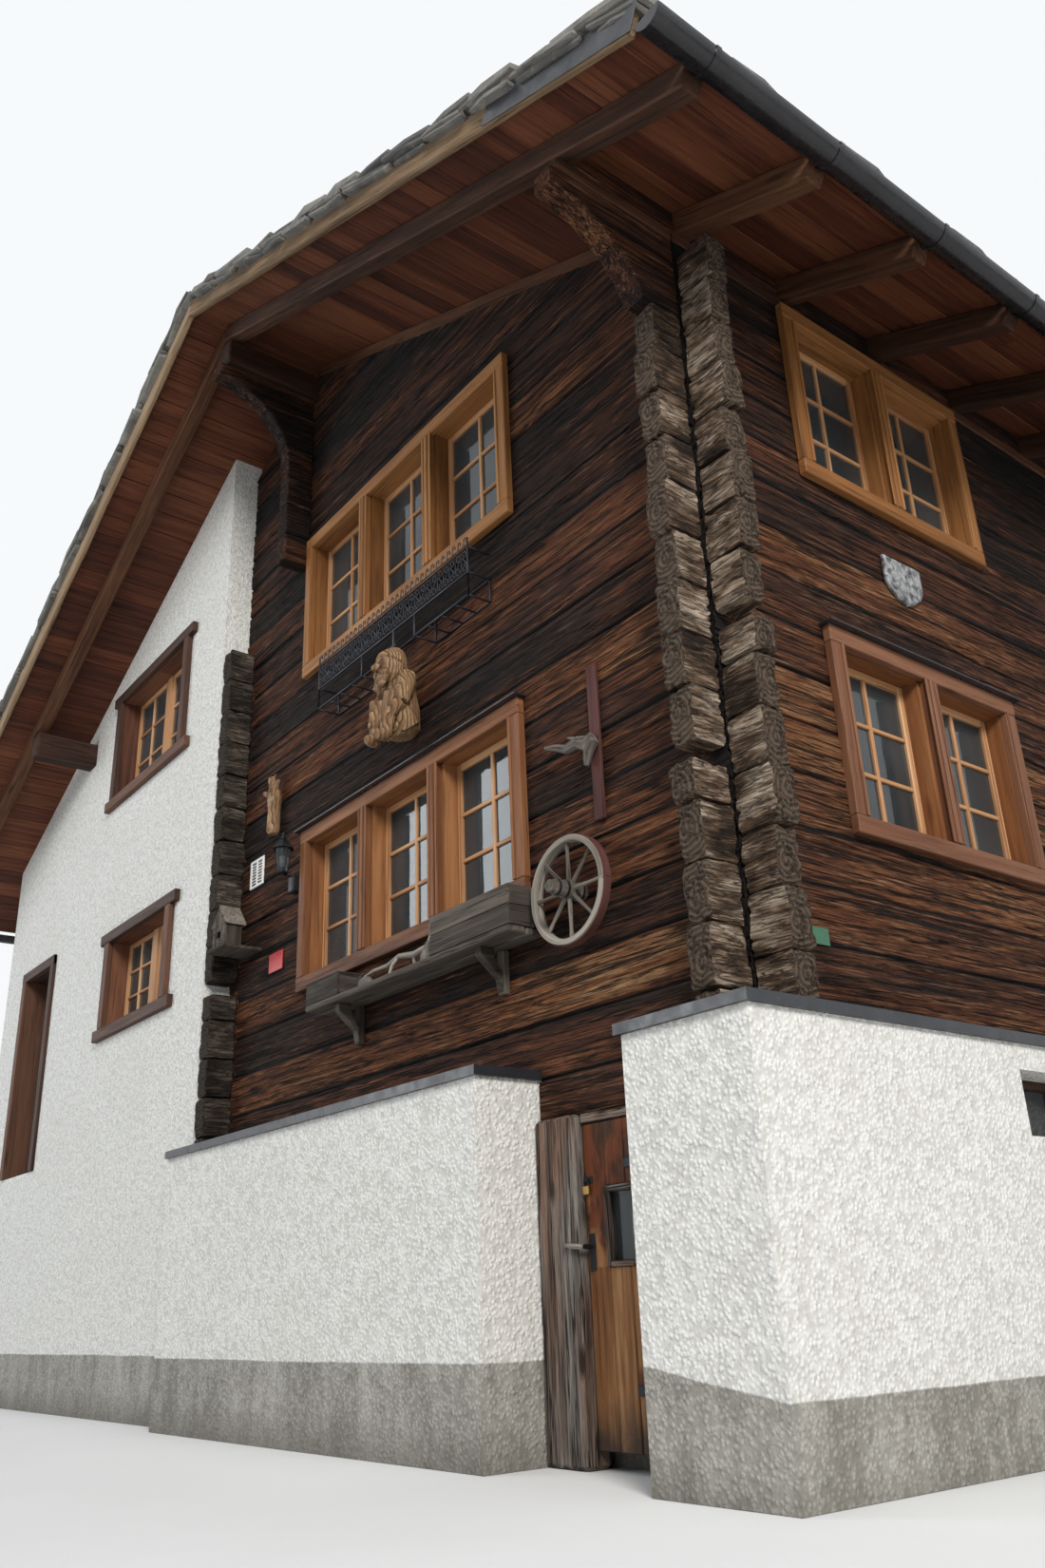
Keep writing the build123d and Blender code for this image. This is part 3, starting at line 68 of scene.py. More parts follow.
def lattice(cells, seed):
    """Random value from 0 to 1 for each whole-number cell, the same on every run."""
    h = cells[..., 0] * 374761393 + cells[..., 1] * 668265263 + cells[..., 2] * 2147483647
    h = (h + seed * 144665) & 0xFFFFFFFF
    h = ((h ^ (h >> 13)) * 1274126177) & 0xFFFFFFFF
    return ((h ^ (h >> 16)) & 0xFFFF) / 65535.0


def noise(points, scale, seed=0, octaves=3):
    """Smooth noise from about -1 to 1 at each point; scale is one number or three."""
    points = np.asarray(points, float) * np.asarray(scale, float)
    total, size, weight = np.zeros(len(points)), 1.0, 0.0
    for octave in range(octaves):
        q = points * 2 ** octave
        base = np.floor(q).astype(np.int64)
        f = q - base
        f = f * f * (3 - 2 * f)
        value = np.zeros(len(points))
        for corner in np.ndindex(2, 2, 2):
            share = np.where(corner, f, 1 - f)
            value += share[:, 0] * share[:, 1] * share[:, 2] * lattice(base + corner, seed + 17 * octave)
        total += size * (value * 2 - 1)
        weight += size
        size *= 0.5
    return total / weight


# Node materials


class Nodes:
    """Builds one node material."""

    def __init__(self, name, roughness=0.8, metallic=0.0, specular=0.4):
        self.material = bpy.data.materials.new(name)
        self.material.use_nodes = True
        self.tree = self.material.node_tree
        self.shader = self.tree.nodes["Principled BSDF"]
        self.shader.inputs["Roughness"].default_value = roughness
        self.shader.inputs["Metallic"].default_value = metallic
        self.shader.inputs["Specular IOR Level"].default_value = specular

    def feed(self, socket, value):
        """Link a socket to another one, or set its value."""
        if isinstance(value, bpy.types.NodeSocket):
            self.tree.links.new(value, socket)
        else:
            socket.default_value = value

    def node(self, kind, links=None, **settings):
        n = self.tree.nodes.new(kind)
        for key, value in settings.items():
            setattr(n, key, value)
        for key, value in (links or {}).items():
            self.feed(n.inputs[key], value)
        return n

    def coords(self, source, scale=(1, 1, 1), shift=(0, 0, 0)):
        """Place in the mesh's wood coordinates or in the object, scaled and shifted."""
        if source == "wood":
            vector = self.node("ShaderNodeAttribute", attribute_name="wood").outputs["Vector"]
        else:
            vector = self.node("ShaderNodeTexCoord").outputs["Object"]
        links = {"Vector": vector, "Scale": scale, "Location": shift}
        return self.node("ShaderNodeMapping", links).outputs["Vector"]

    def tone(self):
        """Value that the mesh holds for each board."""
        return self.node("ShaderNodeAttribute", attribute_name="tone").outputs["Fac"]

    def noise(self, vector, scale, detail=6.0, rough=0.6, warp=0.0):
        links = {"Vector": vector, "Scale": scale, "Detail": detail, "Roughness": rough, "Distortion": warp}
        return self.node("ShaderNodeTexNoise", links).outputs["Fac"]

    def grain(self, along, across, scale, detail, rough, warp=0.0, shift=(0, 0, 0)):
        """Noise drawn out along the wood."""
        return self.noise(self.coords("wood", (along, across, across), shift), scale, detail, rough, warp)

    def waves(self, vector, scale, distortion, detail, detail_scale, **settings):
        links = {"Vector": vector, "Scale": scale, "Distortion": distortion}
        links |= {"Detail": detail, "Detail Scale": detail_scale}
        return self.node("ShaderNodeTexWave", links, **settings).outputs["Fac"]

    def voronoi(self, vector, scale):
        return self.node("ShaderNodeTexVoronoi", {"Vector": vector, "Scale": scale}).outputs["Distance"]

    def ramp(self, fac, *stops):
        """Colour ramp from pairs of position and colour, or position and grey."""
        n = self.node("ShaderNodeValToRGB", {"Fac": fac})
        ramp = n.color_ramp
        while len(ramp.elements) < len(stops):
            ramp.elements.new(0.5)
        for element, (position, colour) in zip(ramp.elements, stops):
            element.position = position
            element.color = (*(colour if isinstance(colour, tuple) else [colour] * 3), 1.0)
        return n.outputs["Color"]

    def mix(self, fac, a, b):
        n = self.node("ShaderNodeMix", {0: fac}, data_type="RGBA", clamp_result=True)
        for index, colour in ((6, a), (7, b)):
            self.feed(n.inputs[index], (*colour, 1.0) if isinstance(colour, tuple) else colour)
        return n.outputs[2]

    def maths(self, kind, a, b=0.0):
        return self.node("ShaderNodeMath", {0: a, 1: b}, operation=kind).outputs[0]

    def times(self, a, b):
        return self.maths("MULTIPLY", a, b)

    def total(self, *terms):
        """Sum of pairs of value and weight."""
        value = self.times(*terms[0])
        for term in terms[1:]:
            value = self.maths("ADD", value, self.times(*term))
        return value

    def centred(self, value):
        return self.maths("SUBTRACT", value, 0.5)

    def lines(self, value, strength, width):
        """Thin lines where a noise crosses its middle."""
        return self.ramp(self.maths("ABSOLUTE", self.centred(value)), (0.0, strength), (width, 0.0))

    def bump(self, height, distance, under=None):
        links = {"Height": height, "Strength": 1.0, "Distance": distance}
        if under is not None:
            links["Normal"] = under
        return self.node("ShaderNodeBump", links).outputs["Normal"]

    def finish(self, colour=None, rough=None, normal=None):
        for value, socket in ((colour, "Base Color"), (rough, "Roughness"), (normal, "Normal")):
            if value is not None:
                self.tree.links.new(value, self.shader.inputs[socket])
        return self.material


def shaded(colour, share):
    return tuple(share * c for c in colour)


def wood(name, dark, mid, light, grey=None, greying=0.0, roughness=0.8, erosion=0.004, knots=True):
    """Wood with grain along the first axis of the mesh's wood coordinates and a tone for each board."""
    m = Nodes(name, roughness=roughness, specular=0.25)
    fibre = m.grain(0.9, 14.0, 2.2, 8.0, 0.62, 0.35)
    fine = m.grain(3.0, 120.0, 1.6, 4.0, 0.6)
    rings = m.grain(0.35, 5.0, 1.4, 3.0, 0.5, 1.2)
    figure = m.mix(0.45, m.ramp(fibre, (0.28, 0.0), (0.72, 1.0)), m.ramp(rings, (0.3, 0.0), (0.7, 1.0)))
    colour = m.ramp(m.total((figure, 0.75), (m.tone(), 0.5)), (0.12, dark), (0.55, mid), (0.98, light))
    if knots:
        spots = m.voronoi(m.coords("wood", (1.1, 5.0, 5.0)), 0.9)
        colour = m.mix(m.ramp(spots, (0.03, 0.75), (0.11, 0.0)), colour, dark)
    cracks = m.ramp(m.grain(0.7, 42.0, 1.7, 5.0, 0.7, shift=(7, 3, 1)), (0.33, 1.0), (0.40, 0.0))
    colour = m.mix(m.times(cracks, 0.7), colour, shaded(dark, 0.35))
    if grey:
        edge = 0.62 - 0.35 * greying
        worn = m.ramp(m.grain(0.5, 2.4, 1.5, 5.0, 0.65, shift=(3, 1, 5)), (edge, 0.0), (edge + 0.2, 1.0))
        silver = m.mix(fine, shaded(grey, 0.55), grey)
        colour = m.mix(m.times(worn, min(1.0, 0.35 + greying)), colour, silver)
    rough = m.ramp(fibre, (0.2, min(1.0, roughness + 0.12)), (0.8, max(0.2, roughness - 0.14)))
    normal = m.bump(m.maths("ADD", fibre, m.times(fine, 0.35)), erosion)
    return m.finish(colour, rough, m.bump(cracks, -1.4 * erosion, normal))


def aged_logs(name, warm=0.5, pale=0.0):
    """Sun-burnt larch: nearly black, with red and orange fibre, long fissures and pale eroded ridges."""
    m = Nodes(name, roughness=0.82, specular=0.2)
    broad = m.grain(0.28, 1.7, 1.3, 4.0, 0.6, 0.6, (2, 5, 8))
    streak = m.grain(0.9, 17.0, 1.6, 8.0, 0.70, 0.35, (4, 9, 2))
    fine = m.grain(3.2, 62.0, 1.7, 5.0, 0.65, 0.2, (5, 1, 3))
    heat = m.total((broad, 0.66), (m.tone(), 0.28), (streak, 0.44))
    low = 0.592 - 0.09 * warm
    base = m.ramp(
        heat, (low, (0.009, 0.0062, 0.0052)), (low + 0.12, (0.034, 0.0145, 0.0085)),
        (low + 0.23, (0.105, 0.033, 0.0125)), (low + 0.35, (0.225, 0.085, 0.031)),
        (low + 0.47, (0.38, 0.20, 0.092)),
    )
    colour = m.mix(m.ramp(fine, (0.36, 0.92), (0.58, 0.0)), base, (0.006, 0.0042, 0.0036))
    ridges = m.ramp(streak, (0.53 - 0.08 * pale, 0.0), (0.68 - 0.06 * pale, 1.0))
    worn = m.times(m.ramp(fine, (0.50, 0.0), (0.66, 0.9)), ridges)
    worn = m.times(worn, m.ramp(heat, (low + 0.02, 0.35), (low + 0.24, 1.0)))
    colour = m.mix(worn, colour, (0.285, 0.185, 0.115))
    cracks = m.ramp(m.grain(0.55, 24.0, 1.6, 6.0, 0.72, shift=(1, 4, 7)), (0.37, 1.0), (0.43, 0.0))
    colour = m.mix(m.times(cracks, 0.92), colour, (0.003, 0.0025, 0.002))
    fissure = m.lines(m.grain(0.42, 13.0, 1.0, 4.0, 0.62, 0.25, (8, 2, 6)), 1.0, 0.022)
    colour = m.mix(m.times(fissure, 0.94), colour, (0.0028, 0.0022, 0.002))
    spots = m.voronoi(m.coords("wood", (1.5, 5.5, 5.5), (6, 2, 3)), 0.8)
    colour = m.mix(m.ramp(spots, (0.03, 0.8), (0.09, 0.0)), colour, (0.012, 0.008, 0.006))
    normal = m.bump(fine, 0.011, m.bump(streak, 0.022))
    normal = m.bump(m.maths("MAXIMUM", cracks, fissure), -0.018, normal)
    return m.finish(colour, m.ramp(fine, (0.25, 0.95), (0.75, 0.68)), normal)


# A tone above this marks the sawn or broken end of a log
END_GRAIN = 2.0


def log_end_wood(name, dark, mid, light):
    """Weathered log end: silvered sides with deep wavy cracks, and pitted rings on its end face."""
    m = Nodes(name, roughness=0.88, specular=0.18)
    tone = m.tone()
    end = m.maths("GREATER_THAN", tone, END_GRAIN - 0.2)
    tone = m.maths("SUBTRACT", tone, m.times(end, END_GRAIN))
    streak = m.grain(3.4, 24.0, 1.5, 7.0, 0.68, 0.5)
    fine = m.grain(7.0, 90.0, 1.5, 4.0, 0.62, 0.3)
    patches = m.centred(m.grain(1.6, 3.4, 1.5, 4.0, 0.6))
    shade = m.total((streak, 0.62), (fine, 0.28), (patches, 0.75), (tone, 0.16))
    side = m.ramp(shade, (0.40, dark), (0.53, mid), (0.71, light))
    crack = m.lines(m.grain(1.9, 15.0, 1.1, 3.0, 0.55, 0.9, (3, 7, 2)), 1.0, 0.035)
    narrow = m.lines(m.grain(2.6, 31.0, 1.1, 3.0, 0.55, 0.7, (9, 1, 4)), 0.8, 0.03)
    crack = m.maths("MAXIMUM", crack, narrow)
    side = m.mix(crack, side, (0.010, 0.0075, 0.006))
    across = m.coords("wood", (0.0, 1.0, 1.0))
    rings = m.waves(across, 11.0, 2.4, 3.0, 1.6, wave_type="RINGS", rings_direction="X")
    pits = m.maths("ADD", m.voronoi(across, 48.0), m.times(patches, 0.9))
    pitted = m.ramp(pits, (0.24, 1.0), (0.46, 0.0))
    face = m.mix(m.times(rings, 0.6), shaded(mid, 0.50), shaded(light, 0.30))
    face = m.mix(m.times(pitted, 0.9), face, shaded(dark, 0.6))
    side_relief = m.maths("SUBTRACT", m.times(streak, 0.9), crack)
    face_relief = m.maths("SUBTRACT", m.times(rings, 0.5), pitted)
    normal = m.bump(fine, 0.006, m.bump(m.mix(end, side_relief, face_relief), 0.016))
    return m.finish(m.mix(end, side, face), m.ramp(fine, (0.3, 0.95), (0.7, 0.74)), normal)


def carving(name):
    """Oiled arolla pine: the year rings run over the rounded shapes as fine dark lines."""
    m = Nodes(name, roughness=0.66, specular=0.25)
    bands = {"wave_type": "BANDS", "bands_direction": "Z", "wave_profile": "SAW"}
    rings = m.waves(m.coords("wood", (0.55, 0.8, 1.0)), 13.0, 15.0, 3.0, 0.55, **bands)
    patches = m.grain(3.0, 6.0, 1.3, 4.0, 0.6)
    fibre = m.grain(6.0, 60.0, 1.5, 5.0, 0.65, 0.3)
    stops = (0.03, (0.032, 0.016, 0.008)), (0.24, (0.160, 0.084, 0.036)), (0.95, (0.40, 0.255, 0.135))
    colour = m.ramp(rings, *stops)
    colour = m.mix(m.ramp(patches, (0.40, 0.0), (0.60, 0.78)), colour, (0.115, 0.056, 0.025))
    colour = m.mix(m.ramp(fibre, (0.30, 0.65), (0.46, 0.0)), colour, (0.045, 0.023, 0.012))
    worn = m.ramp(m.grain(5.0, 5.0, 1.3, 4.0, 0.6, shift=(4, 4, 1)), (0.60, 0.0), (0.72, 0.8))
    colour = m.mix(worn, colour, (0.46, 0.38, 0.28))
    # Painted shade: the carving darkens in its hollows, where the surface curves inwards
    hollow_shade = m.ramp(m.node("ShaderNodeNewGeometry").outputs["Pointiness"], (0.455, 0.95), (0.500, 0.0))
    colour = m.mix(hollow_shade, colour, (0.022, 0.011, 0.006))
    relief = m.bump(fibre, 0.004, m.bump(rings, 0.006))
    return m.finish(colour, m.ramp(fibre, (0.3, 0.78), (0.7, 0.55)), relief)


def roughcast(name):
    """Thrown lime plaster, creamy white and greyer in the hollows between its lumps as painted shade, over a
    grey cement plinth that steps down at the corner.
    """
    m = Nodes(name, roughness=0.92, specular=0.18)
    corner, fall, plinth_top, blend = 4.8, 0.15, 0.432, 0.005
    at = m.coords("Object")
    domes = m.ramp(m.voronoi(at, 46.0), (0.05, 1.0), (0.62, 0.0))
    clumps = m.noise(at, 21.0, 3.0, 0.55, 0.3)
    grit = m.noise(at, 90.0, 3.0, 0.6)
    broad = m.noise(at, 1.1, 5.0, 0.62)
    relief = m.total((domes, 0.42), (clumps, 0.75), (grit, 0.22))
    stops = (0.42, (0.55, 0.54, 0.505)), (0.62, (0.70, 0.69, 0.655)), (0.86, (0.775, 0.77, 0.74))
    # Painted shade: the plaster is greyer in the hollows between its lumps
    pit_shaded_plaster = m.ramp(relief, *stops)
    colour = m.mix(m.ramp(broad, (0.48, 0.0), (0.80, 0.30)), pit_shaded_plaster, (0.56, 0.545, 0.50))
    place = m.node("ShaderNodeSeparateXYZ", {"Vector": m.node("ShaderNodeTexCoord").outputs["Object"]})
    past = m.maths("MAXIMUM", m.maths("SUBTRACT", place.outputs["X"], corner), 0.0)
    height = m.maths("ADD", place.outputs["Z"], m.times(past, fall))
    edge = m.maths("ADD", height, m.times(m.centred(broad), 0.03))
    foot = m.ramp(edge, (plinth_top, 1.0), (plinth_top + blend, 0.0))
    streaks = m.noise(m.coords("Object", (1, 1, 0.3)), 5.0, 7.0, 0.7)
    # The plinth's colour follows its streaks and, as painted shade, darkens in the hollows of the relief
    shade = m.total((streaks, 0.8), (m.maths("SUBTRACT", relief, 0.6), 0.5))
    colour = m.mix(foot, colour, m.ramp(shade, (0.25, (0.20, 0.19, 0.165)), (0.55, (0.40, 0.385, 0.345))))
    colour = m.mix(m.ramp(edge, (0.02, 0.6), (0.20, 0.0)), colour, (0.13, 0.12, 0.10))
    return m.finish(colour, None, m.bump(relief, 0.013))


def stone(name, pale=1.0):
    """Split gneiss with mica streaks and yellow-grey lichen."""
    m = Nodes(name, roughness=0.85, specular=0.3)
    at = m.coords("wood")
    layers = m.noise(m.coords("wood", (2.5, 2.5, 16.0)), 2.0, 8.0, 0.65, 0.4)
    stops = ((0.25, (0.10, 0.098, 0.094)), (0.6, (0.235, 0.225, 0.205)), (0.95, (0.40, 0.385, 0.35)))
    stops = [(position, shaded(colour, pale)) for position, colour in stops]
    colour = m.ramp(m.total((layers, 0.7), (m.tone(), 0.45)), *stops)
    lichen = m.ramp(m.noise(at, 7.0, 7.0, 0.72), (0.56, 0.0), (0.66, 0.8))
    colour = m.mix(lichen, colour, m.mix(m.noise(at, 23.0), (0.25, 0.22, 0.13), (0.33, 0.31, 0.26)))
    dark = m.ramp(m.noise(at, 3.1, 6.0, 0.7), (0.35, 0.7), (0.5, 0.0))
    colour = m.mix(dark, colour, (0.055, 0.052, 0.05))
    return m.finish(colour, None, m.bump(layers, 0.01, m.bump(m.noise(at, 18.0, 8.0, 0.7), 0.014)))


def metal(name, colour, roughness, metallic=0.0, wear=0.15, worn=(0.32, 0.33, 0.34)):
    """Painted or bare sheet with faint dents, dust and worn edges."""
    m = Nodes(name, roughness=roughness, metallic=metallic, specular=0.5)
    at = m.coords("Object")
    dusty = tuple(min(1.0, 1.5 * c + 0.01) for c in colour)
    tint = m.mix(m.ramp(m.noise(at, 2.6, 5.0, 0.6), (0.35, 0.0), (0.75, 0.6)), colour, dusty)
    tint = m.mix(m.ramp(m.noise(at, 38.0, 5.0, 0.7), (0.66, 0.0), (0.74, wear)), tint, worn)
    low, high = max(0.05, roughness - 0.12), min(1.0, roughness + 0.15)
    rough = m.ramp(m.noise(at, 11.0, 4.0), (0.3, low), (0.7, high))
    return m.finish(tint, rough, m.bump(m.noise(at, 7.0, 3.0), 0.002))


def stained_planks(name):
    """Old pine door: honey brown boards with knots, burnt red and black at the top, damp at the foot."""
    m = Nodes(name, roughness=0.72, specular=0.25)
    height = m.node("ShaderNodeSeparateXYZ", {"Vector": m.coords("Object")}).outputs["Z"]
    tone = m.tone()
    fibre = m.grain(0.9, 15.0, 2.2, 8.0, 0.64, 0.35)
    rings = m.grain(0.6, 6.0, 1.6, 3.0, 0.5, 1.2)
    shade = m.total((fibre, 0.55), (rings, 0.4), (tone, 0.16))
    stops = (0.34, (0.050, 0.020, 0.008)), (0.52, (0.205, 0.088, 0.031)), (0.72, (0.40, 0.215, 0.098))
    colour = m.ramp(shade, *stops)
    knots = m.voronoi(m.coords("wood", (2.4, 8.0, 8.0)), 1.0)
    colour = m.mix(m.ramp(knots, (0.07, 0.9), (0.17, 0.0)), colour, (0.060, 0.018, 0.008))
    blotch = m.noise(m.coords("Object", (7.0, 7.0, 3.0), (1, 2, 3)), 1.0, 5.0, 0.62, 0.4)
    deep = m.noise(m.coords("Object", (9.0, 9.0, 5.0), (6, 4, 1)), 1.0, 4.0, 0.6, 0.5)
    spread = m.times(m.centred(blotch), 1.5)
    burnt = m.ramp(m.maths("ADD", height, spread), (0.86, 0.0), (1.40, 0.90))
    colour = m.mix(burnt, colour, m.ramp(deep, (0.40, (0.016, 0.006, 0.004)), (0.58, (0.125, 0.030, 0.010))))
    runs = m.noise(m.coords("Object", (26.0, 26.0, 1.4), (2, 7, 5)), 1.0, 4.0, 0.6)
    colour = m.mix(m.ramp(runs, (0.58, 0.0), (0.70, 0.8)), colour, (0.060, 0.017, 0.007))
    foot = m.ramp(m.maths("ADD", height, m.times(spread, 0.25)), (0.12, 0.9), (0.30, 0.0))
    colour = m.mix(foot, colour, (0.030, 0.022, 0.017))
    return m.finish(colour, m.ramp(fibre, (0.3, 0.85), (0.7, 0.6)), m.bump(fibre, 0.005))


def old_post(name):
    """Weathered post: grey, rosy and black fibre with dark knots."""
    m = Nodes(name, roughness=0.92, specular=0.18)
    streak = m.grain(1.0, 22.0, 1.6, 8.0, 0.68, 0.4)
    fine = m.grain(3.0, 85.0, 1.6, 4.0, 0.62)
    hue = m.grain(0.6, 6.0, 1.5, 4.0, 0.6, shift=(5, 2, 8))
    pale = m.mix(m.ramp(hue, (0.42, 0.0), (0.58, 1.0)), (0.27, 0.245, 0.22), (0.23, 0.145, 0.105))
    colour = m.mix(m.ramp(streak, (0.36, 0.0), (0.60, 1.0)), (0.040, 0.027, 0.021), pale)
    colour = m.mix(m.ramp(fine, (0.34, 0.75), (0.50, 0.0)), colour, (0.022, 0.015, 0.012))
    crack = m.lines(m.grain(0.5, 12.0, 1.0, 4.0, 0.6, 0.3, (8, 2, 6)), 1.0, 0.02)
    knots = m.ramp(m.voronoi(m.coords("wood", (2.6, 9.0, 9.0), (1, 1, 4)), 1.0), (0.10, 1.0), (0.24, 0.0))
    dark = m.maths("MAXIMUM", crack, m.times(knots, 0.9))
    colour = m.mix(dark, colour, (0.012, 0.008, 0.006))
    normal = m.bump(dark, -0.014, m.bump(streak, 0.014))
    return m.finish(colour, m.ramp(fine, (0.3, 0.95), (0.7, 0.8)), normal)


def mottled(name):
    """Grey cast metal with dark hollows in its surface."""
    m = Nodes(name, roughness=0.7, metallic=0.25, specular=0.4)
    relief = m.noise(m.coords("Object"), 24.0, 5.0, 0.6, 0.6)
    stops = (0.36, (0.055, 0.056, 0.058)), (0.50, (0.22, 0.222, 0.225)), (0.68, (0.44, 0.445, 0.45))
    colour = m.ramp(relief, *stops)
    return m.finish(colour, m.ramp(relief, (0.35, 0.85), (0.7, 0.5)), m.bump(relief, 0.012))


def pane_glass(name):
    """Dark window glass with a slight waviness."""
    m = Nodes(name, roughness=0.03, specular=0.22)
    m.shader.inputs["Transmission Weight"].default_value = 0.82
    m.shader.inputs["IOR"].default_value = 1.45
    at = m.coords("Object")
    tint = m.ramp(m.noise(at, 1.7, 2.0), (0.3, (0.13, 0.15, 0.16)), (0.7, (0.22, 0.25, 0.26)))
    rough = m.ramp(m.noise(at, 22.0, 4.0), (0.45, 0.02), (0.8, 0.09))
    return m.finish(tint, rough, m.bump(m.noise(at, 2.3, 2.0), 0.0016))


# Colours of each wood: dark, middle and light fibre and its silver grey, then the share of grey,
# the roughness and the depth of the grain
WOODS = {
    # The roof beams and soffit boards are darker than their wood's own red-brown: painted shade under the
    # eaves
    "beams": ("roof_beams", (0.012, 0.006, 0.004), (0.050, 0.020, 0.010), (0.130, 0.055, 0.025),
              None, 0.0, 0.76, 0.006),
    "soffit": ("soffit_boards", (0.022, 0.007, 0.004), (0.086, 0.024, 0.011), (0.165, 0.056, 0.024),
               None, 0.0, 0.70, 0.003),
    "verge": ("verge_wood", (0.040, 0.025, 0.015), (0.185, 0.118, 0.065), (0.34, 0.235, 0.145),
              (0.29, 0.255, 0.21), 0.12, 0.86, 0.009),
    "casing_gold": ("upper_casings", (0.085, 0.032, 0.010), (0.235, 0.098, 0.029), (0.35, 0.168, 0.058),
                    None, 0.0, 0.58, 0.0016),
    "casing_red": ("lower_casings", (0.060, 0.022, 0.009), (0.158, 0.060, 0.023), (0.245, 0.108, 0.045),
                   None, 0.0, 0.62, 0.0016),
    "casing_mauve": ("side_casings", (0.052, 0.020, 0.010), (0.128, 0.050, 0.024), (0.195, 0.088, 0.046),
                     None, 0.0, 0.62, 0.0016),
    "reveal": ("reveal_boards", (0.090, 0.030, 0.011), (0.215, 0.083, 0.029), (0.32, 0.145, 0.058),
               None, 0.0, 0.58, 0.0014),
    "sash": ("sash_pine", (0.20, 0.085, 0.032), (0.40, 0.200, 0.088), (0.54, 0.31, 0.155),
             None, 0.0, 0.5, 0.0010, False),
    "brown": ("brown_joinery", (0.020, 0.010, 0.007), (0.060, 0.026, 0.015), (0.115, 0.052, 0.029),
              None, 0.0, 0.62, 0.0018),
    "red_brown": ("wing_reveal_boards", (0.045, 0.017, 0.010), (0.125, 0.045, 0.023), (0.20, 0.085, 0.045),
                  None, 0.0, 0.6, 0.0016),
    "dark_grey": ("shelf_timber", (0.014, 0.011, 0.009), (0.052, 0.042, 0.034), (0.125, 0.105, 0.086),
                  (0.17, 0.155, 0.135), 0.12, 0.92, 0.007),
    "spokes": ("wheel_wood", (0.026, 0.021, 0.017), (0.105, 0.088, 0.071), (0.25, 0.22, 0.185),
               (0.30, 0.275, 0.24), 0.15, 0.9, 0.006),
    "rim": ("wheel_rim_wood", (0.020, 0.015, 0.011), (0.135, 0.113, 0.088), (0.36, 0.325, 0.275),
            (0.43, 0.405, 0.36), 0.35, 0.9, 0.010),
    "grey": ("weathered_timber", (0.030, 0.025, 0.021), (0.095, 0.080, 0.068), (0.21, 0.185, 0.162),
             (0.30, 0.285, 0.265), 0.25, 0.92, 0.008),
    "pale_grey": ("bleached_timber", (0.040, 0.033, 0.026), (0.185, 0.160, 0.130), (0.40, 0.365, 0.315),
                  (0.47, 0.445, 0.40), 0.3, 0.88, 0.007),
    "old_red": ("old_red_paint", (0.026, 0.010, 0.010), (0.070, 0.024, 0.021), (0.115, 0.045, 0.038),
                (0.15, 0.115, 0.10), 0.12, 0.75, 0.003),
    "floor_boards": ("floor_boards", (0.09, 0.048, 0.024), (0.19, 0.11, 0.06), (0.29, 0.19, 0.11),
                     None, 0.0, 0.6, 0.0015),
}
MAT = {key: wood(*values) for key, values in WOODS.items()}
MAT |= {
    "logs": aged_logs("aged_larch_logs", 0.30),
    "logs_warm": aged_logs("aged_larch_logs_side", 0.80, 0.8),
    "log_ends": log_end_wood(
        "aged_log_ends", (0.016, 0.0105, 0.0075), (0.115, 0.072, 0.045), (0.44, 0.355, 0.27),
    ),
    "inner_ends": log_end_wood(
        "inner_log_ends", (0.014, 0.011, 0.009), (0.062, 0.048, 0.036), (0.17, 0.135, 0.105),
    ),
    "planks": stained_planks("door_planks"),
    "post": old_post("door_posts"),
    "carved": carving("carved_arolla"),
    "plaster": roughcast("white_roughcast"),
    "slabs": stone("gneiss_slabs", 0.66),
    "sheet": metal("anthracite_sheet", (0.016, 0.017, 0.021), 0.34),
    "gutter": metal("gutter_sheet", (0.0085, 0.0085, 0.010), 0.24),
    "iron": metal("wrought_iron", (0.012, 0.013, 0.016), 0.5, 0.5),
    "rack_iron": metal("rack_iron", (0.012, 0.015, 0.022), 0.42, 0.4, 0.3, (0.10, 0.12, 0.15)),
    "glass": pane_glass("window_panes"),
    "enamel": metal("white_enamel", (0.60, 0.595, 0.57), 0.4),
    "brass": metal("brass_lock", (0.40, 0.27, 0.085), 0.35, 0.85, 0.3, (0.14, 0.09, 0.04)),
    "red_enamel": metal("red_enamel", (0.36, 0.022, 0.022), 0.35),
    "green_enamel": metal("green_enamel", (0.020, 0.095, 0.048), 0.35),
    "cast": mottled("cast_pewter"),
}


# Mesh collecting


def edged(q, power):
    """Signed value that stays near 0 until it comes close to -1 or 1."""
    return np.sign(q) * np.abs(q) ** power


def grid_quads(rows, columns):
    """Corner numbers of the cells of a grid of points."""
    index = np.arange(rows * columns).reshape(rows, columns)
    return np.stack((index[:-1, :-1], index[1:, :-1], index[1:, 1:], index[:-1, 1:]), -1)


def tube(rings, sides):
    """Faces between rings of points, with a cap at each end."""
    faces = [tuple(reversed(range(sides))), tuple(range((rings - 1) * sides, rings * sides))]
    for i in range(rings - 1):
        for k in range(sides):
            a, b = i * sides + k, i * sides + (k + 1) % sides
            faces.append((a, b, b + sides, a + sides))
    return faces


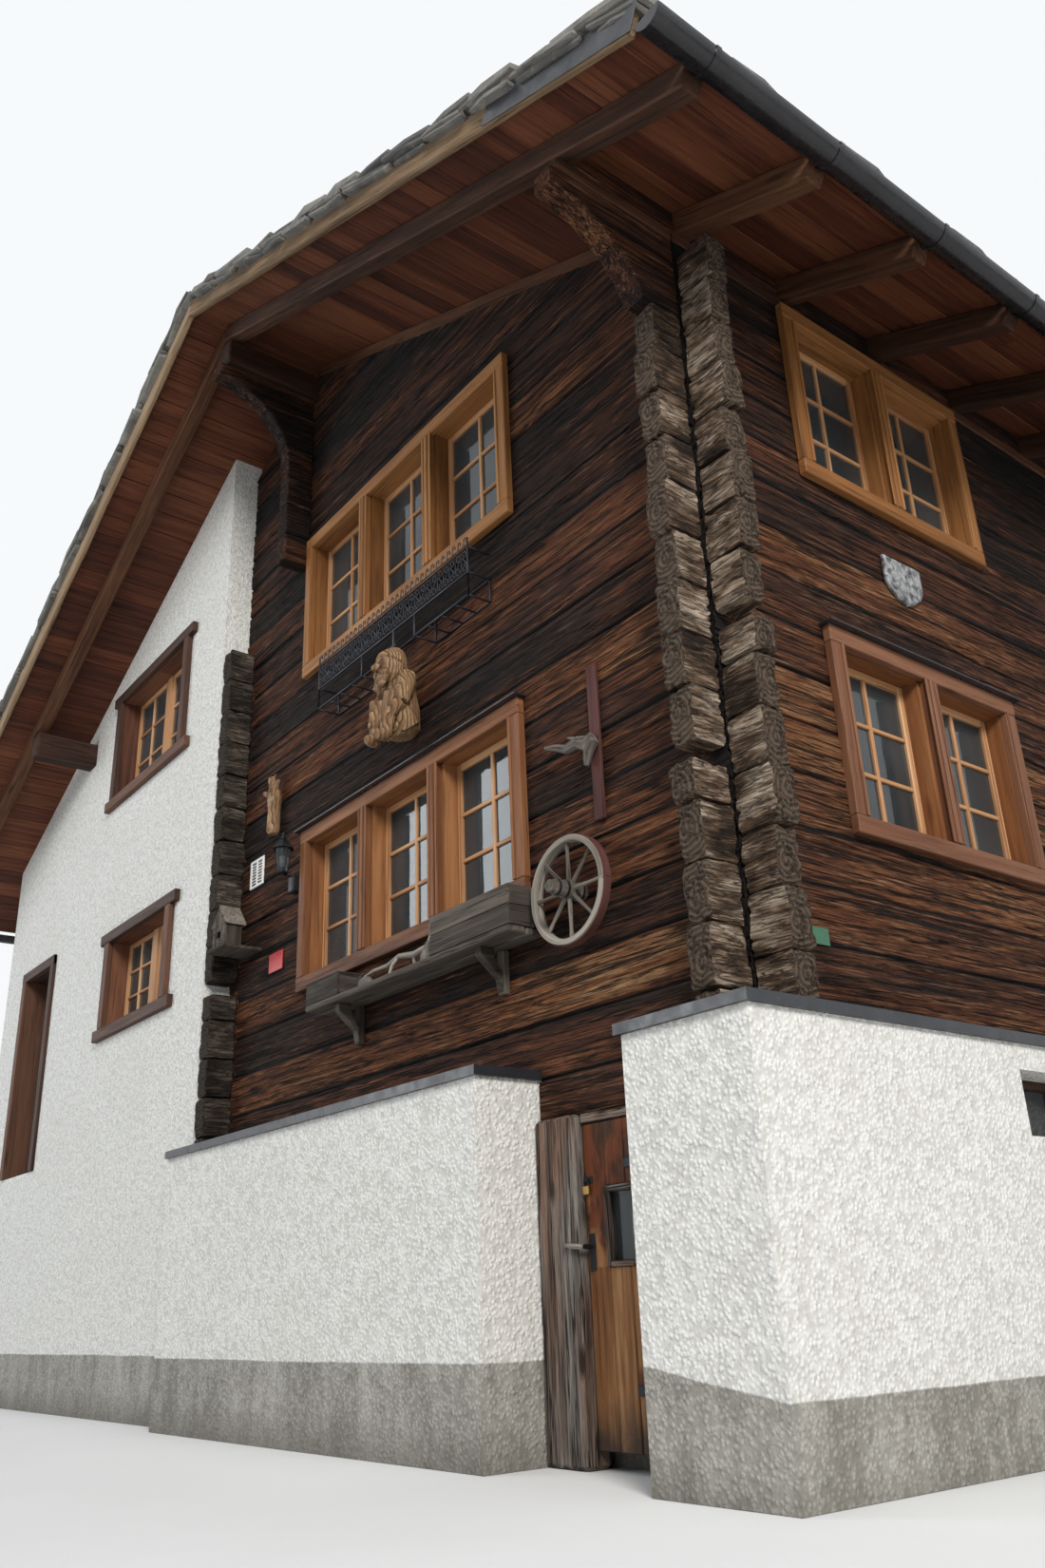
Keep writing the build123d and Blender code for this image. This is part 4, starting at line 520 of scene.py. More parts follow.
class Pile:
    """Collects boards, beams and stones with one material into one piece."""

    def __init__(self, seed=1):
        self.verts, self.faces, self.wood, self.tone = [], [], [], []
        self.count = 0
        self.random = np.random.default_rng(seed)

    def shift(self):
        """Random place in the wood's grain."""
        return self.random.uniform(0, 40, 3)

    def add(self, verts, faces, wood_at, tone=None):
        verts = np.asarray(verts, float)
        tone = self.random.uniform(0.0, 1.0) if tone is None else tone
        self.verts.append(verts)
        self.wood.append(np.asarray(wood_at, float))
        self.tone.append(np.full(len(verts), tone) if np.isscalar(tone) else np.asarray(tone, float))
        self.faces.extend([tuple(i + self.count for i in face) for face in faces])
        self.count += len(verts)

    def bar(self, centre, size, axes, bevel=0.006, step=0.5, wobble=0.0):
        """Board or beam: size is length, width, thickness along the rows of axes."""
        length, width, thick = size
        bevel = min(bevel, 0.3 * width, 0.3 * thick)
        end, hw, ht = length / 2, width / 2, thick / 2
        inner = np.linspace(-end, end, max(1, int(round(length / step))) + 1)[1:-1]
        along = np.concatenate(([-end, -end + bevel], inner, [end - bevel, end]))
        ring = np.array([
            (-hw + bevel, -ht), (hw - bevel, -ht), (hw, -ht + bevel), (hw, ht - bevel),
            (hw - bevel, ht), (-hw + bevel, ht), (-hw, ht - bevel), (-hw, -ht + bevel),
        ])
        tip = ring * ((hw - bevel) / hw, (ht - bevel) / ht)
        sections = [tip] + [ring] * (len(along) - 2) + [tip]
        local = np.vstack([np.column_stack((np.full(8, a), section)) for a, section in zip(along, sections)])
        shift = self.shift()
        if wobble:
            push = [noise(local * (1, 0, 0) + shift + k, 1.3, 5 + k, 2) for k in (1, 2)]
            rough = noise(local + shift, 9.0, 3, 2)
            for k in (1, 2):
                local[:, k] += wobble * (push[k - 1] + 0.35 * rough * np.sign(local[:, k]))
        self.add(np.asarray(centre) + local @ axes, tube(len(along), 8), local + shift)

    def block(self, low, high, grain=0, **options):
        """Board between two corners, its grain along the given axis."""
        low, high = np.minimum(low, high), np.maximum(low, high)
        order = [grain] + [k for k in range(3) if k != grain]
        if np.linalg.det(np.eye(3)[order]) < 0:
            order = [order[0], order[2], order[1]]
        self.bar((low + high) / 2, (high - low)[order], np.eye(3)[order], **options)

    def rough(self, low, high, grain, cells, depth, tone):
        """Weathered timber end: a box of grids whose faces are pushed in by streaks along the grain."""
        low, high = np.minimum(low, high), np.maximum(low, high)
        centre, half = (low + high) / 2, (high - low) / 2
        shift = self.shift()
        sides = [k for k in range(3) if k != grain]
        order = [grain] + sides
        stretch = np.full(3, 30.0)
        stretch[grain] = 3.0
        for normal in range(3):
            a, b = [k for k in range(3) if k != normal]
            ca, cb = (max(2, int(round(2 * half[k] / cells[0 if k == grain else 1]))) for k in (a, b))
            ga, gb = np.meshgrid(np.linspace(-1, 1, ca + 1), np.linspace(-1, 1, cb + 1), indexing="ij")
            for sign in (-1, 1):
                q = np.zeros((ga.size, 3))
                q[:, a], q[:, b], q[:, normal] = ga.ravel(), gb.ravel(), sign
                at = q * half + shift
                streaks = noise(at, stretch, 7, 3)
                lumps = noise(at, 6.0, 8, 3)
                cuts = np.clip(1 - np.abs(noise(at, stretch * 0.55, 9, 2)) / 0.07, 0, 1)
                push = depth * (0.75 * streaks + 0.8 * lumps - 0.5 - 1.3 * cuts)
                ends = depth * (1.1 * noise(at, 24.0, 10, 3) + 0.8 * lumps - 0.4 - 1.2 * cuts)
                moved = q * half
                for k in sides:
                    moved[:, k] += edged(q[:, k], 6) * push
                rim = sum(np.clip(np.abs(q[:, k]) - start, 0, 1) for k, start in zip(sides, (0.86, 0.80)))
                moved[:, grain] += edged(q[:, grain], 10) * (ends - depth * 5.0 * rim)
                quads = grid_quads(*ga.shape).reshape(-1, 4)
                if np.cross(np.eye(3)[a], np.eye(3)[b])[normal] * sign < 0:
                    quads = quads[:, ::-1]
                if normal == grain:
                    face_at, face_tone = q * half + 0.03 * np.sin(shift), END_GRAIN + tone
                else:
                    face_at, face_tone = at, tone
                self.add(centre + moved, quads.tolist(), face_at[:, order], face_tone)

    def piece(self, name, material, slot, replaces=(), body="root", smooth=False):
        """Make the piece, and give it its body and the nodes that it replaces; the slot is not used."""
        mesh = bpy.data.meshes.new(name)
        mesh.from_pydata(np.vstack(self.verts).tolist(), [], self.faces)
        mesh.validate()
        mesh.update()
        for label, kind, field, data in (
            ("wood", "FLOAT_VECTOR", "vector", np.vstack(self.wood)),
            ("tone", "FLOAT", "value", np.concatenate(self.tone)),
        ):
            attribute = mesh.attributes.new(label, kind, "POINT")
            attribute.data.foreach_set(field, data.astype(np.float32).ravel())
        mesh.materials.append(MAT[material])
        mesh.polygons.foreach_set("use_smooth", [smooth] * len(mesh.polygons))
        obj = bpy.data.objects.new(name, mesh)
        bpy.context.scene.collection.objects.link(obj)
        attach(obj, body)
        if replaces:
            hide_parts(*replaces)


def prism(pile, outline, origin, across, thickness, bevel=0.008, roughen=0.0):
    """Upright flat shape with a bevelled rim, its thickness square to its plane."""
    across, up = np.asarray(across, float), np.array(UP)
    points = np.asarray(outline, float)
    ahead = np.roll(points, -1, 0)
    if np.sum(points[:, 0] * ahead[:, 1] - ahead[:, 0] * points[:, 1]) < 0:
        points = points[::-1]
    n = len(points)
    edge = np.roll(points, -1, 0) - points
    edge /= np.linalg.norm(edge, axis=1)[:, None] + 1e-12
    normal = np.column_stack((edge[:, 1], -edge[:, 0]))
    mitre = normal + np.roll(normal, 1, 0)
    mitre /= np.maximum(np.sum(mitre * mitre, axis=1), 0.35)[:, None] / 2
    inset = points - mitre * bevel
    layers = [(inset, 0.0), (points, bevel), (points, thickness - bevel), (inset, thickness)]
    local = np.vstack([np.column_stack((p, np.full(n, w))) for p, w in layers])
    if roughen:
        local[:, :2] += roughen * np.column_stack([noise(local, 11.0, 40 + k, 2) for k in range(2)])
    world = np.asarray(origin, float) + local @ np.array([across, up, np.cross(across, up)])
    pile.add(world, tube(4, n), local + pile.shift())


def turned(pile, start, end, radii, sides=16):
    """Round form whose radius follows the list along the line from start to end."""
    start, end = np.asarray(start, float), np.asarray(end, float)
    length = np.linalg.norm(end - start)
    axis = (end - start) / length
    u = np.cross(UP if abs(axis[2]) < 0.9 else (1.0, 0, 0), axis)
    u /= np.linalg.norm(u)
    v = np.cross(axis, u)
    angles = np.linspace(0, 2 * pi, sides, endpoint=False)
    rings, at = [], []
    for t, radius in radii:
        c, s = np.cos(angles) * radius, np.sin(angles) * radius
        rings.append(start + axis * length * t + np.outer(c, u) + np.outer(s, v))
        at.append(np.column_stack((np.full(sides, length * t), c, s)))
    pile.add(np.vstack(rings), tube(len(radii), sides), np.vstack(at) + pile.shift())


def rod(pile, points, radius, sides=6):
    """Bent bar of wire or branch through the points; radius may be a list."""
    points = np.asarray(points, float)
    n = len(points)
    radii = np.full(n, radius) if np.isscalar(radius) else radius
    tangent = np.gradient(points, axis=0)
    tangent /= np.linalg.norm(tangent, axis=1)[:, None] + 1e-12
    normal = np.cross(tangent[0], (0.31, 0.17, 0.93))
    rings, at, run = [], [], 0.0
    angles = np.linspace(0, 2 * pi, sides, endpoint=False)
    for i in range(n):
        normal = normal - tangent[i] * np.dot(normal, tangent[i])
        normal /= np.linalg.norm(normal) + 1e-12
        c, s = np.cos(angles) * radii[i], np.sin(angles) * radii[i]
        rings.append(points[i] + np.outer(c, normal) + np.outer(s, np.cross(tangent[i], normal)))
        run += np.linalg.norm(points[i] - points[i - 1]) if i else 0.0
        at.append(np.column_stack((np.full(sides, run), c, s)))
    pile.add(np.vstack(rings), tube(n, sides), np.vstack(at) + pile.shift())


def branch(pile, sides, points):
    """Bent bar through points of position and radius."""
    rod(pile, [p[:3] for p in points], [p[3] for p in points], sides)


# Walls


class Wall:
    """A wall's outer face: u along it, v up, w out of it."""

    def __init__(self, origin, along, outward):
        self.origin = np.asarray(origin, float)
        self.along = np.asarray(along, float)
        self.outward = np.asarray(outward, float)
        self.axes = np.array([self.along, UP, self.outward])

    def points(self, uvw):
        return self.origin + np.asarray(uvw, float) @ self.axes

    def board(self, pile, u0, u1, v0, v1, w0, w1, grain=0, **options):
        """Board between two corners of wall coordinates; grain 0 runs along, 1 up, 2 out."""
        order = [(0, 1, 2), (1, 2, 0), (2, 0, 1)][grain]
        size = [(u1 - u0, v1 - v0, w1 - w0)[k] for k in order]
        centre = self.points(((u0 + u1) / 2, (v0 + v1) / 2, (w0 + w1) / 2))
        pile.bar(centre, size, self.axes[list(order)], **options)

    def border(self, pile, u0, u1, v0, v1, bar, w0, w1, **options):
        """Frame of two uprights with two boards between them."""
        for u in (u0, u1 - bar):
            self.board(pile, u, u + bar, v0, v1, w0, w1, 1, **options)
        for v in (v0, v1 - bar):
            self.board(pile, u0 + bar, u1 - bar, v, v + bar, w0, w1, 0, **options)


front = Wall((0, FRONT, 0), (1, 0, 0), (0, -1, 0))
rear = Wall((0, REAR, 0), (1, 0, 0), (0, 1, 0))
right = Wall((RIGHT, 0, 0), (0, 1, 0), (1, 0, 0))
wing_front = Wall((0, WING_FRONT, 0), (1, 0, 0), (0, -1, 0))
wing_rear = Wall((0, -WING_FRONT, 0), (1, 0, 0), (0, 1, 0))
wing_left = Wall((LEFT, 0, 0), (0, -1, 0), (-1, 0, 0))

# Windows in their walls: start along the wall, width, sill, height and number of lights
FRONT_LOWER = (1.160, 2.568, 2.673, 1.165, 3)
FRONT_UPPER = (1.092, 2.616, 5.106, 1.228, 3)
SIDE_LOWER = [(-3.528, 1.669, 2.704, 1.154, 2), (1.859, 1.669, 2.704, 1.154, 2)]
SIDE_UPPER = [(-3.518, 1.700, 4.815, 1.205, 2), (1.818, 1.700, 4.815, 1.205, 2)]
WING_LOWER = (-2.115, 1.460, 2.912, 0.958, 2)
WING_UPPER = (-2.388, 1.693, 5.158, 1.212, 2)
WING_SIDE = [(-2.689, 1.460, 2.912, 0.958, 2), (1.229, 1.460, 2.912, 0.958, 2)]
WING_REVEAL, EAR = 0.205, 0.098
COVER, CASING, PROUD, MULLION = 0.060, 0.098, 0.050, 0.110


def openings(windows):
    """Holes in a log face, a little smaller than the casings that cover their rims."""
    return [(u + COVER, u + w - COVER, v + COVER, v + h - COVER) for u, w, v, h, _ in windows]


def log_skin(wall, span, seed, step=0.055, rows=14, sun=None):
    """Weathered face of a log wall as one grid, left out where the holes are."""
    u0, u1, v0, v1, first_joint, holes, top, warm = span
    us = set(np.round(np.linspace(u0, u1, max(2, int((u1 - u0) / step))), 4))
    vs = {round(v0, 4), round(v1, 4)}
    profile = [0.0, 0.016, 0.032, 0.05] + list(np.linspace(0.07, 0.93, rows - 6)) + [0.95, 0.968, 0.984]
    first = int(np.floor((v0 - first_joint) / LOG + 1e-6))
    for k in range(first, int(np.ceil((v1 - first_joint) / LOG)) + 1):
        levels = [first_joint + k * LOG + t * LOG for t in profile]
        vs |= {round(v, 4) for v in levels if v0 < v < v1}
    for a, b, c, d in holes:
        us |= {round(value, 4) for value in (a, b) if u0 < value < u1}
        vs |= {round(value, 4) for value in (c, d) if v0 < value < v1}
    us, vs = np.array(sorted(us)), np.array(sorted(vs))
    u, v = (side.ravel() for side in np.meshgrid(us, vs, indexing="ij"))
    zero = np.zeros_like(u)

    course = np.floor((v - first_joint) / LOG + 1e-4)
    t = np.clip((v - first_joint) / LOG - course, 0, 1)
    ident = np.column_stack((course, np.full_like(course, seed), zero)).astype(np.int64)
    rand, rand2 = lattice(ident, seed), lattice(ident, seed + 5)
    from_joint = np.minimum(t, 1 - t) * LOG
    gaping = noise(np.column_stack((u, np.round(course + t), zero)), (1.1, 3.0, 1.0), seed + 8, 2)
    groove = -0.022 * (0.35 + 0.65 * np.clip(gaping + 0.5, 0, 1)) * np.exp(-(from_joint / 0.0075) ** 2)
    sag = 0.006 * noise(np.column_stack((u, course, zero)), (0.7, 9.0, 1.0), seed + 1, 2)
    p = np.column_stack((u, v + 37.0 * rand, zero))
    ridges = noise(p, (1.5, 34.0, 1.0), seed + 2, 3)
    lumps = noise(p, (1.3, 6.0, 1.0), seed + 3, 3)
    crack = noise(p, (0.8, 15.0, 1.0), seed + 4, 3)
    crack = -0.014 * np.clip(1 - np.abs(crack - 0.25 * rand2) / 0.06, 0, 1) * (lumps > -0.1)
    w = groove + sag + 0.008 * (rand - 0.5) + 0.0075 * ridges + 0.0045 * lumps + crack

    limit = np.array([top(x) for x in u]) if top else np.full(len(u), np.inf)
    inside = v <= limit
    v = np.minimum(v, limit)
    mu, mv = np.meshgrid((us[:-1] + us[1:]) / 2, (vs[:-1] + vs[1:]) / 2, indexing="ij")
    keep = np.ones(mu.shape, bool)
    for a, b, c, d in holes:
        keep &= ~((mu > a) & (mu < b) & (mv > c) & (mv < d))
    quads = grid_quads(len(us), len(vs))[keep]
    quads = quads[inside[quads].any(axis=1)]

    tone = np.clip(0.15 + 0.7 * rand + warm * (1 - (v - v0) / max(0.1, v1 - v0)), 0, 1.3)
    tone -= 1.1 * np.exp(-(from_joint / 0.011) ** 2)
    # Painted light: the logs grow lighter towards the corner, and a painted shade band darkens them beside
    # the corner's log ends.
    if sun:
        start, reach, strength = sun
        tone += strength * np.clip((u - start) / reach, 0, 1)
        tone -= 1.6 * np.exp(-((u - (u1 if reach > 0 else u0)) / 0.07) ** 2)
    at = np.column_stack((u + 13.0 * rand, v + 31.0 * rand2, zero))
    return wall.points(np.column_stack((u, v, w))), quads, at, tone


def log_wall(name, node, wall, span, material, **options):
    """One piece with a weathered outer face and a plain inner face of a log wall."""
    pile = Pile(3)
    turn = 1 if np.dot(np.cross(wall.along, UP), wall.outward) > 0 else -1
    verts, quads, at, tone = log_skin(wall, span, 11 + len(name), **options)
    pile.add(verts, quads[:, ::turn].tolist(), at, tone)
    verts, quads, at, tone = log_skin(wall, span[:-1] + (0.0,), 5, step=0.8, rows=8)
    pile.add(verts - wall.outward * LOG_THICK, quads[:, ::-turn].tolist(), at, tone)
    pile.piece(name, material, "log_wood", [node], smooth=True)


# Each span: start, end, foot, head, level of a joint, holes, upper limit, warmth at the foot
for wall, tag, step, rows in ((front, "front", 0.05, 38), (rear, "rear", 0.16, 12)):
    lower = (0.0, RIGHT, BASE_TOP, FRONT_SPLIT, BASE_TOP, openings([FRONT_LOWER]), None, 0.35)
    upper = (0.0, RIGHT, FRONT_SPLIT, RIDGE_SEAT, BASE_TOP, openings([FRONT_UPPER]), seat, 0.0)
    for storey, span in (("lower", lower), ("upper", upper)):
        name = f"{tag}_log_face_{storey}"
        node = f"{tag}_wall_{storey}"
        log_wall(name, node, wall, span, "logs", step=step, rows=rows, sun=(3.1, 2.0, 0.34))
side_lower = (FRONT, REAR, BASE_TOP, SIDE_SPLIT, SIDE_FIRST, openings(SIDE_LOWER), None, 0.3)
log_wall(
    "side_log_face_lower", "side_wall_lower", right, side_lower, "logs_warm",
    step=0.075, rows=34, sun=(1.5, -5.0, 0.24),
)
side_upper = (FRONT, REAR, SIDE_SPLIT, SIDE_TOP, SIDE_FIRST, openings(SIDE_UPPER), None, 0.0)
log_wall(
    "side_log_face_upper", "side_wall_upper", right, side_upper, "logs",
    step=0.075, rows=30, sun=(0.0, -4.0, 0.36),
)

# Log ends at the corners, and the lintel over the cellar door

TIGHT, SHORT_COURSE_GAP, CAP_TOP = 0.0015, 0.09, 1.752
FINE_CELLS, COARSE_CELLS = (0.025, 0.0125), (0.06, 0.03)


def end_length(course, stack):
    """How far one course stands out past the corner."""
    return 0.230 + 0.016 * sin(2.4 * course + stack)


def end_tone(pile):
    return 0.35 + 0.5 * pile.random.random()


log_ends, inner_ends, lintels = Pile(21), Pile(24), Pile(22)
for k in range(15):
    low = BASE_TOP + k * LOG
    gap = SHORT_COURSE_GAP if k == 6 else TIGHT
    bottom, top = max(low + TIGHT, CAP_TOP), min(low + LOG - gap, SIDE_TOP)
    for y, sign, cells in ((FRONT, 1, FINE_CELLS), (REAR, -1, COARSE_CELLS)):
        far = (RIGHT + end_length(k, 0), y + sign * LOG_THICK, top)
        log_ends.rough((RIGHT - 0.004, y, bottom), far, 0, cells, 0.011, end_tone(log_ends))
for k in range(-1, 14):
    low = SIDE_FIRST + k * LOG
    gap = SHORT_COURSE_GAP if k == 3 else TIGHT
    bottom, top = max(low, CAP_TOP - 0.004) + TIGHT, low + LOG - gap
    if top - bottom < 0.02:
        continue
    for y, sign, cells in ((FRONT, -1, FINE_CELLS), (REAR, 1, COARSE_CELLS)):
        if low < SIDE_TOP - 2.01 * LOG:
            far = (RIGHT, y + sign * end_length(k, 1), top)
            log_ends.rough((RIGHT - LOG_THICK, y, bottom), far, 1, cells, 0.011, end_tone(log_ends))
        far = (LOG_THICK, y + sign * WING_OUT, top)
        inner_ends.rough((0.0, y, bottom), far, 1, cells, 0.009, 0.6 * inner_ends.random.random())
log_ends.piece("corner_log_ends", "log_ends", "log_wood", smooth=True)
inner_ends.piece("inner_log_ends", "inner_ends", "log_wood", smooth=True)
lintels.block(
    (3.718, FRONT - 0.004, 1.502), (4.779, FRONT + 0.149, 1.698), 0, bevel=0.012, step=0.1, wobble=0.006,
)
lintels.piece("cellar_lintel", "logs_warm", "log_wood")

INNER_TOP, DOORWAY = 6.18, (0.6, 1.5)
inner = Pile(23)
for k in range(-1, 15):
    low = SIDE_FIRST + k * LOG
    top = min(low + LOG, INNER_TOP)
    spans = [(FRONT, DOORWAY[0]), (DOORWAY[1], REAR)]
    if top <= 1.99 or low >= 6.02 or 3.88 < low < 4.1:
        spans = [(FRONT, REAR)]
    for a, b in spans:
        foot, head = (0.0, a + 0.002, max(low, BASE_TOP) + 0.002), (LOG_THICK, b - 0.002, top - 0.002)
        inner.block(foot, head, 1, bevel=0.008, step=0.6, wobble=0.003)
inner.piece("inner_log_wall", "logs_warm", "log_wood", ["inner_wall_lower", "inner_wall_upper"])

# Windows

RAIL, TRIM = 0.045, 0.016


def light_spans(window):
    """Start and clear width of each light."""
    u, width, _, _, lights = window
    clear = (width - 2 * CASING - (lights - 1) * MULLION) / lights
    return [(u + CASING + i * (clear + MULLION), clear) for i in range(lights)]


def line_reveal(wall, pile, a, right_end, sides, low, high, depth):
    """Boards that line one light's reveal."""
    for c, d in sides:
        wall.board(pile, c, d, low + 0.0005, high - 0.0005, depth, -0.0005, 1, bevel=0.001)
    for c, d in ((high - 0.001, high + 0.036), (low - 0.036, low + 0.001)):
        wall.board(pile, a, right_end, c, d, depth, -0.0005, 0, bevel=0.001)


def barred_sash(wall, pile, a, b, low, high, depth):
    """Sash frame with a raised trim, one upright bar and two cross bars."""
    back, face = depth + 0.010, depth + 0.055
    for c, d in ((a + 0.001, a + RAIL), (b - RAIL, b - 0.001)):
        wall.board(pile, c, d, low, high, back, face, 1, bevel=0.005)
    for c, d in ((low + 0.001, low + RAIL), (high - RAIL, high - 0.001)):
        wall.board(pile, a + RAIL, b - RAIL, c, d, back, face, 0, bevel=0.005)
    for c in (a + TRIM, b - TRIM - 0.008):
        wall.board(pile, c, c + 0.008, low + TRIM, high - TRIM, face - 0.002, face + 0.006, 1, bevel=0.002)
    middle = (a + b) / 2
    wall.board(
        pile, middle - 0.013, middle + 0.013, low + RAIL, high - RAIL, back + 0.008, face - 0.004, 1,
        bevel=0.004,
    )
    for t in (1 / 3, 2 / 3):
        bar = low + RAIL + t * (high - low - 2 * RAIL)
        wall.board(
            pile, a + RAIL, b - RAIL, bar - 0.012, bar + 0.012, back + 0.009, face - 0.005, 0, bevel=0.004,
        )


def dress_window(wall, window, reveal, casings, linings, sashes, ear=0.0):
    """Casing boards, lined reveals, mullions and barred sashes; an eared casing has one opening."""
    u, width, v, height, lights = window
    u1, v1 = u + width, v + height
    low, high = v + CASING, v1 - CASING
    for a, b in ((u + 0.001, u + CASING), (u1 - CASING, u1 - 0.001)):
        wall.board(casings, a, b, low, high, 0.0, PROUD - 0.002, 1, bevel=0.004)
    for a, b in ((v, low), (high, v1)):
        wall.board(casings, u - ear, u1 + ear, a, b, 0.0, PROUD, 0, bevel=0.005, step=0.15, wobble=0.03 * ear)
    for i, (a, clear) in enumerate(light_spans(window)):
        b = a + clear
        first, last = i == 0 or not ear, i == lights - 1 or not ear
        sides = [(a - 0.036, a + 0.001)] * first + [(b - 0.001, b + 0.036)] * last
        line_reveal(wall, linings, a, b if last else b + MULLION, sides, low, high, -reveal)
        if not ear:
            for c, d in ((a - 0.023, a - 0.003), (b + 0.003, b + 0.023)):
                wall.board(
                    casings, c, d, low + 0.001, high - 0.001, PROUD - 0.004, PROUD + 0.007, 1, bevel=0.003,
                )
        elif i:
            wall.board(sashes, a - MULLION, a, low, high, -reveal, -reveal + 0.065, 1, bevel=0.006)
        if i and not ear:
            middle = a - MULLION / 2
            for half, foot, face in ((0.031, 0.0, PROUD + 0.001), (0.017, PROUD, PROUD + 0.010)):
                wall.board(casings, middle - half, middle + half, low, high, foot, face, 1, bevel=0.004)
        barred_sash(wall, sashes, a, b, low, high, -reveal)


sashes, rear_casings, gold_side = Pile(31), Pile(39), Pile(40)
upper_gold, lower_red, mauve, brown, reveals, brown_reveals = (Pile(32 + i) for i in range(6))
dress_window(front, FRONT_UPPER, LOG_THICK, upper_gold, upper_gold, sashes)
dress_window(front, FRONT_LOWER, LOG_THICK, lower_red, reveals, sashes)
for window in (FRONT_UPPER, FRONT_LOWER):
    dress_window(rear, window, LOG_THICK, rear_casings, reveals, sashes)
for window in SIDE_LOWER:
    dress_window(right, window, LOG_THICK, mauve, reveals, sashes)
for window in SIDE_UPPER:
    dress_window(right, window, LOG_THICK, gold_side, gold_side, sashes)
for wall in (wing_front, wing_rear):
    for window in (WING_LOWER, WING_UPPER):
        dress_window(wall, window, WING_REVEAL, brown, brown_reveals, sashes, EAR)
for window in WING_SIDE:
    dress_window(wing_left, window, WING_REVEAL, brown, brown_reveals, sashes, EAR)
base_side = Wall((5.496, 0, 0), (0, 1, 0), (1, 0, 0))
for u in (-2.954, 2.354):
    base_side.border(brown, u, u + 0.60, 1.284, 1.579, 0.04, -0.24, -0.18, bevel=0.004)
upper_gold.piece("front_upper_casings", "casing_gold", "window_wood")
lower_red.piece("front_lower_casings", "casing_red", "window_wood")
rear_casings.piece("rear_casings", "casing_red", "window_wood", ["rear_window_frames"])
mauve.piece("side_lower_casings", "casing_mauve", "window_wood")
gold_side.piece("side_upper_casings", "casing_gold", "window_wood", ["side_window_frames"])
reveals.piece("reveal_linings", "reveal", "window_wood", ["front_window_frames"])
brown.piece("wing_casings", "brown", "window_wood", ["wing_window_frames"])
brown_reveals.piece("wing_reveal_linings", "red_brown", "window_wood")
sashes.piece("barred_sashes", "sash", "window_wood", ["window_sashes"])

# Roof timbers

EAVES = ((1, EAVE_RIGHT), (-1, EAVE_LEFT))
RAFTER_STEP, RAFTER_START, RAFTER_HALF = 0.85, -5.1, 0.062
REACH = 5.16


def roof_axes(side, angle):
    """Rows of axes on a slope: down it, along the eave and out of it."""
    down = (side * cos(angle), 0, -sin(angle))
    normal = (side * sin(angle), 0, cos(angle))
    return np.array([down, np.cross(normal, down), normal])


def slope_bar(pile, side, x0, x1, y, width, low, high, **options):
    """Timber that runs down one slope from x0 to x1, between two rises."""
    xc = (x0 + x1) / 2
    size = (abs(x1 - x0) / cos(PITCH), width, (high - low) * cos(PITCH))
    pile.bar((xc, y, seat(xc, (low + high) / 2)), size, roof_axes(side, PITCH), **options)


rafters, purlins, fillers, soffit, barge, cover = (Pile(51 + i) for i in range(6))
for i in range(13):
    for side, eave in EAVES:
        y = RAFTER_START + RAFTER_STEP * i
        high = RAFTER_RISE - 0.001
        slope_bar(rafters, side, RIDGE_X, eave, y, 0.118, 0.002, high, bevel=0.010, wobble=0.004)
rafters.piece("roof_rafters", "beams", "roof_wood", ["rafters"])

for x0, x1, z0, z1 in (
    (0.87, 1.11, RIDGE_SEAT - 0.28, RIDGE_SEAT - 0.055),
    (-3.22, -3.02, seat(-3.12) - 0.28, seat(-3.22) - 0.002),
):
    purlins.block((x0, -REACH, z0), (x1, REACH, z1), 1, bevel=0.014, step=0.4, wobble=0.006)
purlins.block(
    (5.052, -REACH, SIDE_TOP - 0.002), (5.198, REACH, seat(5.198) + 0.012), 1,
    bevel=0.012, step=0.35, wobble=0.007,
)
for i in range(12):
    y = RAFTER_START + RAFTER_STEP * i
    low = (5.052, y + RAFTER_HALF, seat(5.198) + 0.012)
    high = (5.195, y + RAFTER_STEP - RAFTER_HALF, seat(5.195, RAFTER_RISE) - 0.004)
    fillers.block(low, high, 1, bevel=0.006)
purlins.piece("roof_purlins", "beams", "roof_wood", ["purlins"])
fillers.piece("eave_fillers", "logs", "roof_wood")

SOFFIT_WIDTH, SOFFIT_GAP, SOFFIT_END = 0.205, 0.003, 5.42
for side, eave in ((1, EAVE_RIGHT + 0.03), (-1, EAVE_LEFT - 0.03)):
    down, _, normal = roof_axes(side, PITCH)
    axes = np.array([(0, 1, 0), -side * down, normal])
    span = abs(eave - RIDGE_X)
    count = int(span / (SOFFIT_WIDTH * cos(PITCH)))
    width = span / count - SOFFIT_GAP
    for k in range(count):
        xc = eave - side * (k * span / count + width / 2)
        first, second = (lattice(np.array([k, side, n]), 9) for n in (3, 5))
        cuts = [-SOFFIT_END, -2.22 + 1.9 * first, 1.1 + 1.6 * second, SOFFIT_END]
        for c, d in zip(cuts[:-1], cuts[1:]):
            centre = (xc, (c + d) / 2, seat(xc, RAFTER_RISE + BOARD_RISE / 2))
            soffit.bar(centre, (d - c - 0.002, width / cos(PITCH), 0.028), axes, bevel=0.004, step=1.2)
soffit.piece("soffit_boards", "soffit", "roof_wood", ["roof_boards"])

for sign in (-1, 1):
    for side, eave in EAVES:
        slope_bar(
            barge, side, RIDGE_X, eave, sign * (VERGE - 0.0225), 0.045,
            RAFTER_RISE - 0.06, RAFTER_RISE + BOARD_RISE + 0.07, bevel=0.010, step=0.14, wobble=0.006,
        )
    slope_bar(
        cover, 1, 5.02, 6.115, sign * (VERGE + 0.004), 0.006,
        RAFTER_RISE - 0.055, RAFTER_RISE + BOARD_RISE + 0.075, bevel=0.002,
    )
barge.piece("verge_boards", "verge", "roof_wood", ["barge_boards"])
cover.piece("verge_sheet", "sheet", "sheet_metal")

# Stone slabs

